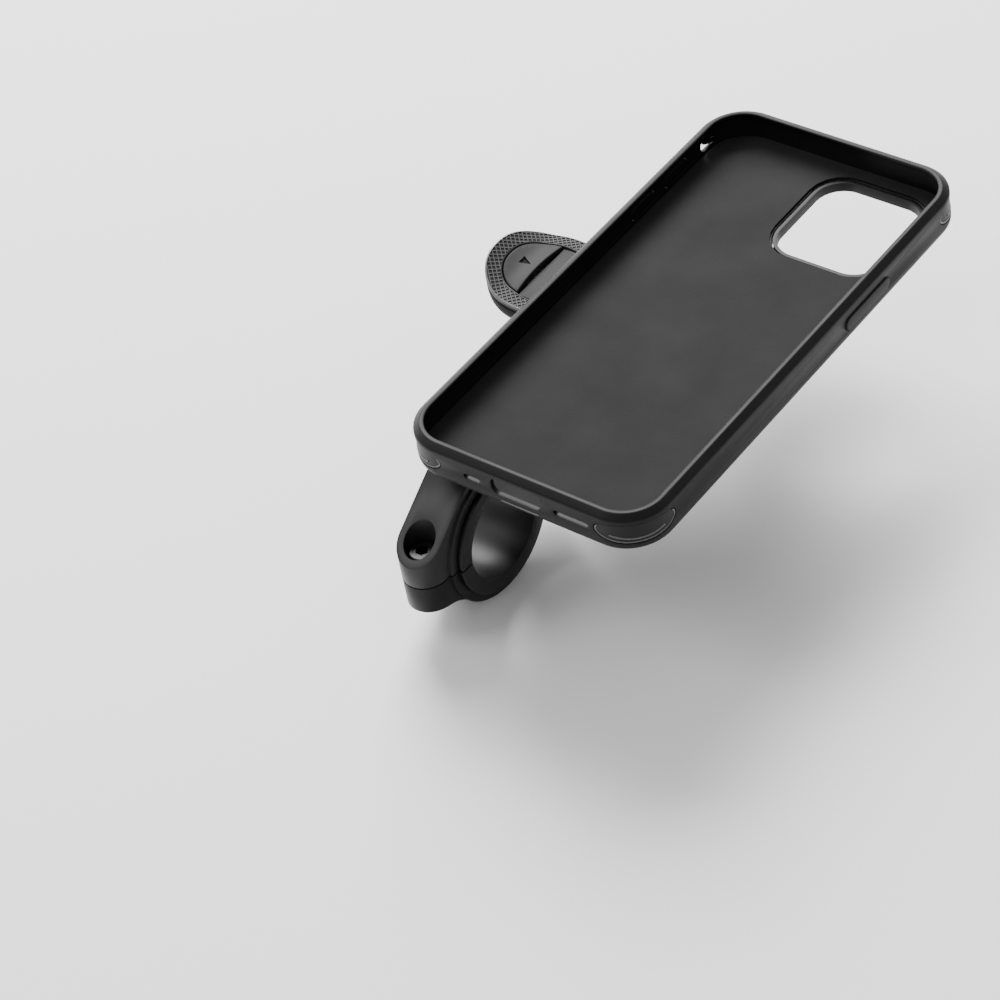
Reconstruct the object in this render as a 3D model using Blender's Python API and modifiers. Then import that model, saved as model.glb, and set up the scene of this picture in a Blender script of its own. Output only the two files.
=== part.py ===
"""Twist-lock phone mount for a bicycle handlebar.

Frame: the origin is on the handlebar's axis, half way along the clamp.  +X runs along
the bar to the rider's right, +Y points forward and +Z up.  Lengths are millimetres until
a mesh is finished, and metres from there on.
"""
import math

import bmesh
import bpy
from mathutils import Matrix, Vector

MM = 0.001
GAP = 0.3                      # clearance between neighbouring pieces
WELD = 0.00001                 # merge distance in metres

# Handlebar clamp
BAR_R = 13.0                   # the bar that the shim halves are bored for
SHIM_R = 15.6                  # outside of the shim halves
BORE_R = 15.9                  # native bore of the clamp, for a 31.8 mm bar
COLLAR_R = 19.6
COLLAR_HALF = 7.0              # half the collar's width along the bar
FLANGE_R = 17.2
FLANGE_OUT = 8.5               # outer face of the shims' flanges
SPLIT = 0.2                    # half the slit between the clamp's two halves
BOSS_Y = 21.2                  # clamp screws sit this far behind and ahead of the bar
BOSS_R = 6.2
EAR_LOW = -8.2

# Arm
SLOPE = 0.70                   # rise of the rear face for each millimetre forward
SLOPE_AT_AXIS = 25.9           # height of that sloping plane above the bar's axis
ARM_TOP = 21.5
ARM_LOW = 16.5
ARM_FILLET = 4.0
PAD_HALF = 12.0
PAD_END = 73.0
PAD_START = 50.0

# Screws
M4_R = 2.0
M4_THREAD_R = 2.08
M4_CLEAR_R = 2.3
M4_HEAD_R = 3.5
M4_BORE_R = 4.3
M3_R = 1.5
M3_THREAD_R = 1.58
M3_CLEAR_R = 1.8
M3_HEAD_R = 2.75
M3_BORE_R = 3.1
M2_R = 1.0
M2_THREAD_R = 1.06
M2_CLEAR_R = 1.35
M2_HEAD_R = 1.7
M2_BORE_R = 2.0
REAR_FLOOR = 2.3               # counterbore floor of the rear screw
FRONT_FLOOR = -3.0             # counterbore floor of the front screw, which enters from below

# Coupling head
HEAD_X, HEAD_Y = 29.8, 60.6    # twist axis
HEAD_R = 19.5
TONGUE_X = -16.0               # where the tongue's oval end starts
TONGUE_OVAL = (17.25, 14.95)   # half sizes of the tongue's end along x and y
POCKET_OVAL = (13.05, 10.6)
OVAL_POWER = 2.3
TIP_RISE = ((-12.0, 0.0), (-16.0, 0.45), (-20.0, 1.3), (-24.0, 1.5), (-27.0, 2.3), (-30.0, 3.4),
            (-34.0, 5.4))      # height of the tongue's middle above the head, by x
UNDER_RISE = ((-19.5, 0.0),) + TIP_RISE[3:]     # the same for the base and the lever, clear of the bridge
CROWN = 0.008                  # fall of the tongue to its sides, per square mm from the middle
BASE_LOW = 21.8
BASE_FLOOR = 22.8
BASE_TOP = 26.4
HEAD_WALL = 2.0
COVER_LOW = 26.7
HEAD_TOP = 28.0
POCKET_END = 2.6
BRIDGE_LEFT = -19.5
STUD_R = 10.4
LUG_R = 14.3
LUG_LOW, LUG_TOP = 29.45, 30.45
LUG_HALF_ANGLE = 10.0
LUG_ANGLES = (90, 270)
TWIST = 25.0                   # turn that frees the case from the stud
POST_R = 8.5
POST_TOP = 25.0
LOCK_R = 12.9                  # distance of the lock pin from the twist axis
LOCK_PIN_R = 1.0
LOCK_TOP = 29.05
PIVOT_X, PIVOT_Z = 45.6, 25.1
PIVOT_PIN_R = 0.7
RING_GROOVE = (14.7, 17.3)

# Case
CASE_X, CASE_Y = 29.8, 57.4
CASE_HALF_X, CASE_HALF_Y = 36.75, 73.0
CASE_CORNER = 12.2
CASE_LOW = 28.4
CASE_TOP = 40.1
CASE_WALL = 1.2
EDGE_R = 3.1                   # rounding of the case's lower edge
LEDGE = 3.7                    # width of the frame's ledge under the phone
FLOOR_TOP = 31.1
LIP_LOW = 39.35
LIP_IN = 2.85
BEVEL_LOW, BEVEL_IN = 38.85, 1.6                # upper outer bevel of the case
SOCKET_R = 16.7
SOCKET_WALL_IN = 14.7
FLANGE_TOP = 29.2
SOCKET_TOP = 30.4
LINING_LOW, LINING_TOP = 31.4, 31.8
CAMERA = (44.4, 107.9, 16.5, 17.0, 9.0)         # centre x and y, half sizes, corner radius
BUTTON_Z, BUTTON_HALF_Z = 34.3, 2.1
POWER_BUTTON = (71.9, 92.3)
VOLUME_UP_BUTTON = (98.0, 109.0)
VOLUME_DOWN_BUTTON = (83.0, 94.0)
MUTE_SLOT = (115.0, 121.5)
PORT = (22.3, 37.5, 32.7, 37.9)                 # x from, x to, z from, z to
SLOT_LEFT = (14.0, 19.0, 33.7, 35.4)
SLOT_RIGHT = (40.8, 51.0, 33.7, 35.4)
PAD_REACH = 11.2               # half the length of a corner pad along the case's outline
PAD_LOW, PAD_HIGH = 31.8, 37.3
PAD_ENDS = 34.9
PAD_DEPTH = 0.75

PAD_SCREWS = [(x, HEAD_Y + y) for x in (-7.5, 7.5) for y in (-8.0, 8.0)]
COVER_SCREWS = [(x, HEAD_Y + side * y) for x, y in ((-9.0, 12.0), (13.0, 11.5)) for side in (-1, 1)]


def clear_scene():
    for item in list(bpy.data.objects):
        bpy.data.objects.remove(item, do_unlink=True)


def new_collection(name):
    collection = bpy.data.collections.new(name)
    bpy.context.scene.collection.children.link(collection)
    return collection


def material(name, colour, roughness, metallic=0.0):
    made = bpy.data.materials.new(name)
    made.use_nodes = True
    shader = made.node_tree.nodes["Principled BSDF"]
    shader.inputs["Base Color"].default_value = (*colour, 1.0)
    shader.inputs["Roughness"].default_value = roughness
    shader.inputs["Metallic"].default_value = metallic
    return made


# ---------------------------------------------------------------- outlines

def arc(cx, cy, radius, start, end, steps):
    """Points on an arc, angles in degrees."""
    turn = (end - start) / steps
    angles = [math.radians(start + turn * i) for i in range(steps + 1)]
    return [(cx + radius * math.cos(a), cy + radius * math.sin(a)) for a in angles]


def circle(cx, cy, radius, steps):
    return arc(cx, cy, radius, 0, 360, steps)[:-1]


def rounded_rectangle(cx, cy, half_x, half_y, radius, steps):
    corners = ((1, 1, 0), (-1, 1, 90), (-1, -1, 180), (1, -1, 270))
    points = []
    for side_x, side_y, start in corners:
        x = cx + side_x * (half_x - radius)
        y = cy + side_y * (half_y - radius)
        points += arc(x, y, radius, start, start + 90, steps)
    return points


def case_outline(inset, steps=8):
    radius = max(CASE_CORNER - inset, 0.5)
    return rounded_rectangle(CASE_X, CASE_Y, CASE_HALF_X - inset, CASE_HALF_Y - inset, radius, steps)


def oval_end(sizes, inset, steps, start=90.0, end=270.0):
    """Left half of a full oval round the tongue's start, angles in degrees."""
    points = []
    for i in range(steps + 1):
        angle = math.radians(start + (end - start) * i / steps)
        turns = (math.cos(angle), math.sin(angle))
        reach = [math.copysign(abs(turn) ** (2 / OVAL_POWER), turn) for turn in turns]
        points.append((TONGUE_X + (sizes[0] - inset) * reach[0], HEAD_Y + (sizes[1] - inset) * reach[1]))
    return points


def head_outline(inset, steps=14):
    """The round head and the tongue's oval end, joined by straight sides."""
    span = HEAD_X - TONGUE_X
    half = TONGUE_OVAL[1] - inset
    radius = HEAD_R - inset
    flare = math.degrees(math.asin(radius / math.hypot(span, half)) - math.atan2(half, span))
    round_end = arc(HEAD_X, HEAD_Y, radius, -90 - flare, 90 + flare, steps)
    return round_end + oval_end(TONGUE_OVAL, inset, steps + 4)


def pocket_outline(inset, left=None):
    """The cover's pocket; a left value cuts it off straight there."""
    end = POCKET_END - inset
    bottom = HEAD_Y - POCKET_OVAL[1] + inset
    top = HEAD_Y + POCKET_OVAL[1] - inset
    corner = 4.0
    right = arc(end - corner, bottom + corner, corner, -90, 0, 5)
    right += arc(end - corner, top - corner, corner, 0, 90, 5)
    if left is not None:
        return right + [(left, top), (left, bottom)]
    return right + oval_end(POCKET_OVAL, inset, 20)


def button_outline():
    """A D with its right side hollowed by the finger gap."""
    end = BRIDGE_LEFT - GAP
    share = (TONGUE_X - end) / (POCKET_OVAL[0] - GAP)
    start = 90 + math.degrees(math.asin(share ** (OVAL_POWER / 2)))
    round_side = oval_end(POCKET_OVAL, GAP, 24, start, 360 - start)
    hollow = 0.55
    half = round_side[0][1] - HEAD_Y
    bow = (half * half + hollow * hollow) / (2 * hollow)
    swing = math.degrees(math.asin(half / bow))
    inner = arc(end - hollow + bow, HEAD_Y, bow, 180 + swing, 180 - swing, 12)
    return round_side + inner[1:-1]


def arm_outline():
    """Plan of the arm: round rear boss, straight beam, flare and end pad."""
    rear = arc(0, -BOSS_Y, BOSS_R, 180, 360, 20)
    side = []
    flare_from = PAD_START - 12
    for i in range(9):
        share = i / 8
        ease = share * share * (3 - 2 * share)
        side.append((BOSS_R + (PAD_HALF - BOSS_R) * ease, flare_from + 12 * share))
    corner = 5.0
    side += arc(PAD_HALF - corner, PAD_END - corner, corner, 0, 90, 6)
    return rear + side + [(-x, y) for x, y in reversed(side)]


def arm_side():
    """Side view of the arm as (y, z), with the sloping rear face."""
    rear = -BOSS_Y - BOSS_R - 1
    front = BOSS_Y + BOSS_R
    knee = (ARM_TOP - SLOPE_AT_AXIS) / SLOPE
    under = arc(front + ARM_FILLET, ARM_LOW - ARM_FILLET, ARM_FILLET, 90, 180, 6)
    top = [(rear, 0.0), (rear, SLOPE_AT_AXIS + SLOPE * rear), (knee, ARM_TOP), (PAD_END + 1, ARM_TOP)]
    return top + [(PAD_END + 1, ARM_LOW)] + under + [(front, 0.0)]


# ---------------------------------------------------------------- solids

class Shop:
    """Makes objects in the parts collection or, for cutters, in the other one."""

    def __init__(self):
        self.parts = new_collection("phone_mount")
        self.cutters = new_collection("cutters")
        self.count = 0

    def place(self, mesh, name, finish):
        """Link a mesh as a part, or as a hidden cutter when it has no finish."""
        if finish is None:
            self.count += 1
            name = f"cutter_{self.count:02d}"
        item = bpy.data.objects.new(name, mesh)
        home = self.cutters if finish is None else self.parts
        home.objects.link(item)
        if finish is None:
            item.hide_render = True
            item.display_type = 'WIRE'
        else:
            mesh.materials.append(finish)
        return item

    def from_bmesh(self, made, name=None, finish=None):
        bmesh.ops.recalc_face_normals(made, faces=made.faces)
        bmesh.ops.scale(made, vec=(MM, MM, MM), verts=made.verts)
        mesh = bpy.data.meshes.new(name or "cutter")
        made.to_mesh(mesh)
        made.free()
        return self.place(mesh, name, finish)

    def prism(self, loops, low, high, name=None, finish=None, turn=None):
        """A flat outline from low to high; further loops are holes through it."""
        curve = bpy.data.curves.new("outline", 'CURVE')
        curve.dimensions = '2D'
        curve.fill_mode = 'BOTH'
        curve.extrude = (high - low) / 2 * MM
        for loop in loops:
            spline = curve.splines.new('POLY')
            spline.points.add(len(loop) - 1)
            for point, (x, y) in zip(spline.points, loop):
                point.co = (x * MM, y * MM, 0.0, 1.0)
            spline.use_cyclic_u = True
        outline = bpy.data.objects.new("outline", curve)
        self.cutters.objects.link(outline)
        outline.matrix_world = (turn or Matrix()) @ Matrix.Translation((0, 0, (low + high) / 2 * MM))
        bpy.context.view_layer.update()
        graph = bpy.context.evaluated_depsgraph_get()
        mesh = bpy.data.meshes.new_from_object(outline.evaluated_get(graph))
        mesh.transform(outline.matrix_world)
        made = bmesh.new()
        made.from_mesh(mesh)
        bmesh.ops.remove_doubles(made, verts=made.verts, dist=WELD)
        bmesh.ops.recalc_face_normals(made, faces=made.faces)
        made.to_mesh(mesh)
        made.free()
        mesh.materials.clear()
        bpy.data.objects.remove(outline, do_unlink=True)
        return self.place(mesh, name, finish)

    def loft(self, loops, name=None, finish=None, closed=False):
        """Skin equal loops of 3D points in order; the ends are capped or, if closed, joined."""
        made = bmesh.new()
        rings = [[made.verts.new(point) for point in loop] for loop in loops]
        pairs = list(zip(rings, rings[1:]))
        if closed:
            pairs.append((rings[-1], rings[0]))
        else:
            made.faces.new(rings[0])
            made.faces.new(rings[-1])
        for below, above in pairs:
            for i in range(len(below)):
                j = (i + 1) % len(below)
                made.faces.new((below[i], below[j], above[j], above[i]))
        bmesh.ops.triangulate(made, faces=made.faces)
        return self.from_bmesh(made, name, finish)

    def cylinder(self, radius, start, end, steps=32, name=None, finish=None):
        start, end = Vector(start), Vector(end)
        made = bmesh.new()
        turn = Vector((0, 0, 1)).rotation_difference(end - start).to_matrix().to_4x4()
        middle = Matrix.Translation((start + end) / 2)
        bmesh.ops.create_cone(made, cap_ends=True, segments=steps, radius1=radius, radius2=radius,
                              depth=(end - start).length, matrix=middle @ turn)
        return self.from_bmesh(made, name, finish)

    def box(self, low, high, name=None, finish=None):
        low, high = Vector(low), Vector(high)
        size = high - low
        made = bmesh.new()
        place = Matrix.Translation((low + high) / 2) @ Matrix.Diagonal((*size, 1.0))
        bmesh.ops.create_cube(made, size=1.0, matrix=place)
        return self.from_bmesh(made, name, finish)

    def turned(self, profile, centre, steps=32, name=None, finish=None, along_x=False):
        """Spin a profile of (radius, height), listed from its top down the outer side."""
        mesh = bpy.data.meshes.new(name or "cutter")
        points = [(radius * MM, 0.0, height * MM) for radius, height in profile]
        hollow = all(radius > 0 for radius, _ in profile)
        count = len(points)
        edges = [(i, (i + 1) % count) for i in range(count if hollow else count - 1)]
        mesh.from_pydata(points, edges, [])
        item = self.place(mesh, name, finish)
        item.location = Vector(centre) * MM
        if along_x:
            item.rotation_euler = (0, math.radians(90), 0)
        spin = item.modifiers.new("spin", 'SCREW')
        spin.steps = steps
        spin.render_steps = steps
        spin.use_merge_vertices = True
        spin.merge_threshold = WELD
        return item


def combine(item, other, operation):
    change = item.modifiers.new(operation.lower(), 'BOOLEAN')
    change.operation = operation
    change.object = other
    change.solver = 'EXACT'


def set_pivot(item, point):
    """Move an object's origin to a joint's axis without moving its mesh."""
    pivot = Vector(point) * MM
    item.data.transform(Matrix.Translation(-pivot))
    item.location = pivot


def level(outline, height):
    return [(x, y, height) for x, y in outline]


# ---------------------------------------------------------------- handlebar clamp

def side_turn():
    """Turns an outline drawn as (y, z) so that its thickness runs along X."""
    return Matrix(((0, 0, 1, 0), (1, 0, 0, 0), (0, 1, 0, 0), (0, 0, 0, 1)))


def stepped_hole(shop, x, y, mouth, floor, end, bore_r, hole_r, steps=24):
    """Cutter for a screw: a counterbore from the mouth to its floor, then the hole."""
    deep, shallow = (end, mouth) if end < mouth else (mouth, end)
    upper, lower = (bore_r, hole_r) if end < mouth else (hole_r, bore_r)
    profile = [(0, shallow), (upper, shallow), (upper, floor), (lower, floor), (lower, deep), (0, deep)]
    return shop.turned(profile, (x, y, 0), steps)


def make_clamp_arm(shop, finish):
    arm = shop.prism([arm_outline()], 0.0, ARM_TOP + 5, "clamp_arm", finish)
    combine(arm, shop.prism([arm_side()], -PAD_HALF - 2, PAD_HALF + 2, turn=side_turn()), 'INTERSECT')
    combine(arm, shop.cylinder(COLLAR_R, (-COLLAR_HALF, 0, 0), (COLLAR_HALF, 0, 0), 48), 'UNION')
    combine(arm, shop.box((-20, -40, -30), (20, 90, SPLIT)), 'DIFFERENCE')
    combine(arm, shop.cylinder(BORE_R, (-20, 0, 0), (20, 0, 0), 48), 'DIFFERENCE')
    rear = stepped_hole(shop, 0, -BOSS_Y, 30, REAR_FLOOR, -2, M4_BORE_R, M4_CLEAR_R)
    combine(arm, rear, 'DIFFERENCE')
    combine(arm, shop.cylinder(M4_THREAD_R, (0, BOSS_Y, -2), (0, BOSS_Y, 10), 24), 'DIFFERENCE')
    for x, y in PAD_SCREWS:
        hole = stepped_hole(shop, x, y, ARM_LOW - 1, ARM_LOW + 2.5, ARM_TOP + 1, M3_BORE_R, M3_CLEAR_R, 16)
        combine(arm, hole, 'DIFFERENCE')
    return arm


def make_clamp_cap(shop, finish):
    ends = arc(0, BOSS_Y, BOSS_R, 0, 180, 16) + arc(0, -BOSS_Y, BOSS_R, 180, 360, 16)
    cap = shop.prism([ends], EAR_LOW, 0.0, "clamp_cap", finish)
    combine(cap, shop.cylinder(COLLAR_R, (-COLLAR_HALF, 0, 0), (COLLAR_HALF, 0, 0), 48), 'UNION')
    combine(cap, shop.box((-20, -40, -SPLIT), (20, 40, 30)), 'DIFFERENCE')
    combine(cap, shop.cylinder(BORE_R, (-20, 0, 0), (20, 0, 0), 48), 'DIFFERENCE')
    combine(cap, shop.cylinder(M4_THREAD_R, (0, -BOSS_Y, -12), (0, -BOSS_Y, 2), 24), 'DIFFERENCE')
    front = stepped_hole(shop, 0, BOSS_Y, EAR_LOW - 1, FRONT_FLOOR, 2, M4_BORE_R, M4_CLEAR_R)
    combine(cap, front, 'DIFFERENCE')
    return cap


def make_shim(shop, name, upper, finish):
    """Half a flanged sleeve that packs the clamp down to the bar."""
    body = COLLAR_HALF + GAP
    profile = [(BAR_R, FLANGE_OUT), (FLANGE_R, FLANGE_OUT), (FLANGE_R, body), (SHIM_R, body),
               (SHIM_R, -body), (FLANGE_R, -body), (FLANGE_R, -FLANGE_OUT), (BAR_R, -FLANGE_OUT)]
    shim = shop.turned(profile, (0, 0, 0), 48, name, finish, along_x=True)
    low, high = (-30, SPLIT) if upper else (-SPLIT, 30)
    combine(shim, shop.box((-20, -30, low), (20, 30, high)), 'DIFFERENCE')
    return shim


def hexagon_key(shop, x, y, mouth, depth_end, across):
    """Cutter for a hexagon socket."""
    radius = across / math.sqrt(3)
    return shop.cylinder(radius, (x, y, mouth), (x, y, depth_end), 6)


def make_cap_screw(shop, name, x, y, head_top, length, size, finish, upward=False):
    """Socket cap screw; upward ones have their head below."""
    shank_r, head_r, head_h, key = size
    head_low = head_top - head_h
    bevel = head_h / 10
    profile = [(0, head_top), (head_r - bevel, head_top), (head_r, head_top - bevel), (head_r, head_low),
               (shank_r, head_low), (shank_r, head_low - length + bevel), (shank_r - bevel, head_low - length),
               (0, head_low - length)]
    if upward:
        profile = [(radius, 2 * head_top - height) for radius, height in reversed(profile)]
    steps = 24 if head_r > 3 else 12
    screw = shop.turned(profile, (x, y, 0), steps, name, finish)
    sign = 1 if upward else -1
    key_end = head_top + sign * head_h * 0.6
    combine(screw, hexagon_key(shop, x, y, head_top - sign, key_end, key), 'DIFFERENCE')
    return screw


def make_washer(shop, name, y, low, finish):
    high = low + 0.5
    profile = [(4.0, high), (4.0, low), (M4_CLEAR_R - 0.1, low), (M4_CLEAR_R - 0.1, high)]
    return shop.turned(profile, (0, y, 0), 24, name, finish)


def make_clamp(shop, paint, steel, rubber):
    make_clamp_arm(shop, paint["anodised"])
    make_clamp_cap(shop, paint["anodised_lower"])
    make_shim(shop, "shim_upper", True, rubber)
    make_shim(shop, "shim_lower", False, rubber)
    cap_screw = (M4_R, M4_HEAD_R, 4.0, 3.0)
    make_washer(shop, "rear_washer", -BOSS_Y, REAR_FLOOR + GAP, steel)
    make_cap_screw(shop, "rear_screw", 0, -BOSS_Y, 7.4, 11.2, cap_screw, steel)
    make_washer(shop, "front_washer", BOSS_Y, FRONT_FLOOR - GAP - 0.5, steel)
    make_cap_screw(shop, "front_screw", 0, BOSS_Y, -8.1, 12.0, cap_screw, steel, upward=True)


# ---------------------------------------------------------------- coupling head

def rise(x, y, profile):
    """Height that the tongue's surfaces gain at a place: up to the tip and down to the sides."""
    middle = profile[-1][1]
    for (x0, z0), (x1, z1) in zip(profile, profile[1:]):
        if x >= x1:
            middle = z0 + (z1 - z0) * min(max((x0 - x) / (x0 - x1), 0.0), 1.0)
            break
    return max(middle - CROWN * (y - HEAD_Y) ** 2, 0.0)


def raise_tongue(item, profile):
    """Cut a piece into a fine grid left of where the tongue starts to rise, and raise it there."""
    place = item.matrix_basis.copy()
    made = bmesh.new()
    made.from_mesh(item.data)
    made.transform(place)
    start = profile[0][0]
    places = [start] + [x for x in (-14, -16, -18, -20, -22, -24, -25.5, -27, -28.5, -30, -31.5) if x < start]
    cuts = [((x, 0, 0), (1, 0, 0)) for x in places]
    cuts += [((0, HEAD_Y + y, 0), (0, 1, 0)) for y in (-12.4, -9.3, -6.2, -3.1, 0, 3.1, 6.2, 9.3, 12.4)]
    for point, normal in cuts:
        faces = [f for f in made.faces if min(v.co.x for v in f.verts) < start * MM - WELD]
        edges = list({e for f in faces for e in f.edges})
        verts = list({v for f in faces for v in f.verts})
        bmesh.ops.bisect_plane(made, geom=verts + edges + faces, dist=WELD,
                               plane_co=[value * MM for value in point], plane_no=normal)
    faces = [f for f in made.faces if min(v.co.x for v in f.verts) < start * MM - WELD]
    bmesh.ops.triangulate(made, faces=faces)
    for vert in made.verts:
        vert.co.z += rise(vert.co.x / MM, vert.co.y / MM, profile) * MM
    made.transform(place.inverted())
    made.to_mesh(item.data)
    made.free()


def make_head_base(shop, finish):
    rounding = 2.6
    sections = []
    for i in range(4):
        angle = math.radians(30 * i)
        inset = rounding * (1 - math.sin(angle))
        sections.append((inset, BASE_LOW + rounding * (1 - math.cos(angle))))
    sections.append((0.0, BASE_TOP))
    base = shop.loft([level(head_outline(inset), height) for inset, height in sections], "head_base", finish)
    room = shop.prism([head_outline(HEAD_WALL)], BASE_FLOOR, BASE_TOP + 2)
    raise_tongue(base, UNDER_RISE)
    raise_tongue(room, UNDER_RISE)
    combine(base, room, 'DIFFERENCE')
    into_floor = BASE_FLOOR - 0.5
    combine(base, shop.cylinder(POST_R, (HEAD_X, HEAD_Y, into_floor), (HEAD_X, HEAD_Y, POST_TOP)), 'UNION')
    for side in (-1, 1):
        near, far = HEAD_Y + side * 3.7, HEAD_Y + side * 5.6
        ear = shop.box((PIVOT_X - 1.4, min(near, far), into_floor), (PIVOT_X + 1.4, max(near, far), BASE_TOP))
        combine(base, ear, 'UNION')
    for x, y in PAD_SCREWS:
        combine(base, shop.cylinder(2.6, (x, y, into_floor), (x, y, 24.3), 14), 'UNION')
    for x, y in COVER_SCREWS:
        combine(base, shop.cylinder(2.1, (x, y, into_floor), (x, y, 24.2), 14), 'UNION')
    pin_y = 5.8
    pin_hole = shop.cylinder(PIVOT_PIN_R + 0.08, (PIVOT_X, HEAD_Y - pin_y, PIVOT_Z),
                             (PIVOT_X, HEAD_Y + pin_y, PIVOT_Z), 16)
    combine(base, pin_hole, 'DIFFERENCE')
    stud_hole = stepped_hole(shop, HEAD_X, HEAD_Y, BASE_LOW - 1, BASE_LOW + 2.1, POST_TOP + 1,
                             M3_BORE_R, M3_CLEAR_R, 16)
    combine(base, stud_hole, 'DIFFERENCE')
    for x, y in PAD_SCREWS:
        combine(base, shop.cylinder(M3_THREAD_R, (x, y, BASE_LOW - 1), (x, y, 25.5), 14), 'DIFFERENCE')
    for x, y in COVER_SCREWS:
        hole = stepped_hole(shop, x, y, BASE_LOW - 1, BASE_LOW + 1.2, 25, M2_BORE_R, M2_CLEAR_R, 12)
        combine(base, hole, 'DIFFERENCE')
    return base


def make_head_cover(shop, finish):
    holes = [pocket_outline(0.0), circle(HEAD_X, HEAD_Y, STUD_R + GAP, 32),
             circle(HEAD_X - LOCK_R, HEAD_Y, LOCK_PIN_R + 0.5, 12)]
    cover = shop.prism([head_outline(0.0)] + holes, COVER_LOW, HEAD_TOP, "head_cover", finish)
    inner, outer = RING_GROOVE
    groove = [(outer, HEAD_TOP + 1), (outer, 27.2), (inner, 27.2), (inner, HEAD_TOP + 1)]
    combine(cover, shop.turned(groove, (HEAD_X, HEAD_Y, 0), 32), 'DIFFERENCE')
    for x, y in COVER_SCREWS:
        combine(cover, shop.cylinder(1.4, (x, y, 24.5), (x, y, COVER_LOW + 0.4), 12), 'UNION')
        combine(cover, shop.cylinder(M2_THREAD_R, (x, y, 24), (x, y, 27.1), 12), 'DIFFERENCE')
    return cover


def make_head_bridge(shop, finish):
    """The fixed band beside the finger gap, on four legs that stand over the base's floor."""
    bridge = shop.prism([pocket_outline(GAP, BRIDGE_LEFT)], 26.6, HEAD_TOP, "head_bridge", finish)
    for x in (-17.6, -1.6):
        for side in (-1, 1):
            y = HEAD_Y + side * 8.4
            combine(bridge, shop.cylinder(1.0, (x, y, BASE_FLOOR + GAP), (x, y, 27.2), 12), 'UNION')
    return bridge


def make_release_button(shop, finish):
    button = shop.prism([button_outline()], 26.5, HEAD_TOP, "release_button", finish)
    set_pivot(button, (PIVOT_X, HEAD_Y, PIVOT_Z))
    return button


def make_release_lever(shop, finish):
    """Flat spring-steel lever: bar, ring round the stud, lock pin and pivot barrel."""
    low, high = 25.0, 26.2
    ring_in, ring_out = STUD_R + 0.8, 14.6
    half = 5.5
    left = -26.0
    spread = math.degrees(math.asin(half / ring_out))
    tip = half * 0.8
    outline = arc(HEAD_X, HEAD_Y, ring_out, -180 + spread, 180 - spread, 28)
    outline += arc(left + tip, HEAD_Y, tip, 90, 270, 10)
    lever = shop.prism([outline, circle(HEAD_X, HEAD_Y, ring_in, 28)], low, high, "release_lever", finish)
    lock = [(HEAD_X - LOCK_R, HEAD_Y, z) for z in (low + 0.5, LOCK_TOP)]
    combine(lever, shop.cylinder(LOCK_PIN_R, lock[0], lock[1], 12), 'UNION')
    barrel = (-3.2, 1.2)
    ends = [(PIVOT_X, HEAD_Y + y, PIVOT_Z) for y in barrel]
    combine(lever, shop.cylinder(1.25, ends[0], ends[1], 14), 'UNION')
    neck = shop.box((HEAD_X + 13.5, HEAD_Y - 3.2, low + 0.1), (PIVOT_X, HEAD_Y + 1.2, high - 0.1))
    combine(lever, neck, 'UNION')
    bore = [(PIVOT_X, HEAD_Y + y, PIVOT_Z) for y in (-6, 6)]
    combine(lever, shop.cylinder(PIVOT_PIN_R + 0.08, bore[0], bore[1], 14), 'DIFFERENCE')
    set_pivot(lever, (PIVOT_X, HEAD_Y, PIVOT_Z))
    return lever


def make_lever_spring(shop, finish):
    """Torsion spring round the pivot pin, between the barrel and an ear of the base."""
    coil_r, wire_r = 1.1, 0.16
    turns, each = 4, 10
    start_y, pitch = HEAD_Y + 1.75, 0.42
    points = [(PIVOT_X - 4.6, start_y, PIVOT_Z - coil_r)]
    for i in range(turns * each + 1):
        angle = -math.pi / 2 + 2 * math.pi * i / each
        points.append((PIVOT_X + coil_r * math.cos(angle), start_y + pitch * i / each,
                       PIVOT_Z + coil_r * math.sin(angle)))
    points.append((PIVOT_X - 4.6, points[-1][1], PIVOT_Z - coil_r))
    curve = bpy.data.curves.new("wire", 'CURVE')
    curve.dimensions = '3D'
    curve.bevel_depth = wire_r * MM
    curve.bevel_resolution = 2
    curve.use_fill_caps = True
    spline = curve.splines.new('POLY')
    spline.points.add(len(points) - 1)
    for point, place in zip(spline.points, points):
        point.co = (*(value * MM for value in place), 1.0)
    wire = bpy.data.objects.new("lever_spring", curve)
    curve.materials.append(finish)
    shop.parts.objects.link(wire)
    return wire


def make_coupling_stud(shop, finish):
    top = []
    for middle in LUG_ANGLES:
        low, high = middle - LUG_HALF_ANGLE, middle + LUG_HALF_ANGLE
        top += arc(HEAD_X, HEAD_Y, LUG_R, low, high, 6)
        top += arc(HEAD_X, HEAD_Y, STUD_R, high, low + 180, 12)
    stud = shop.prism([top], LUG_LOW, LUG_TOP, "coupling_stud", finish)
    core = [(HEAD_X, HEAD_Y, z) for z in (POST_TOP + GAP, LUG_LOW + 0.5)]
    combine(stud, shop.cylinder(STUD_R - 0.15, core[0], core[1], 32), 'UNION')
    thread = [(HEAD_X, HEAD_Y, z) for z in (POST_TOP - 1, 29.2)]
    combine(stud, shop.cylinder(M3_THREAD_R, thread[0], thread[1], 14), 'DIFFERENCE')
    return stud


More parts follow.
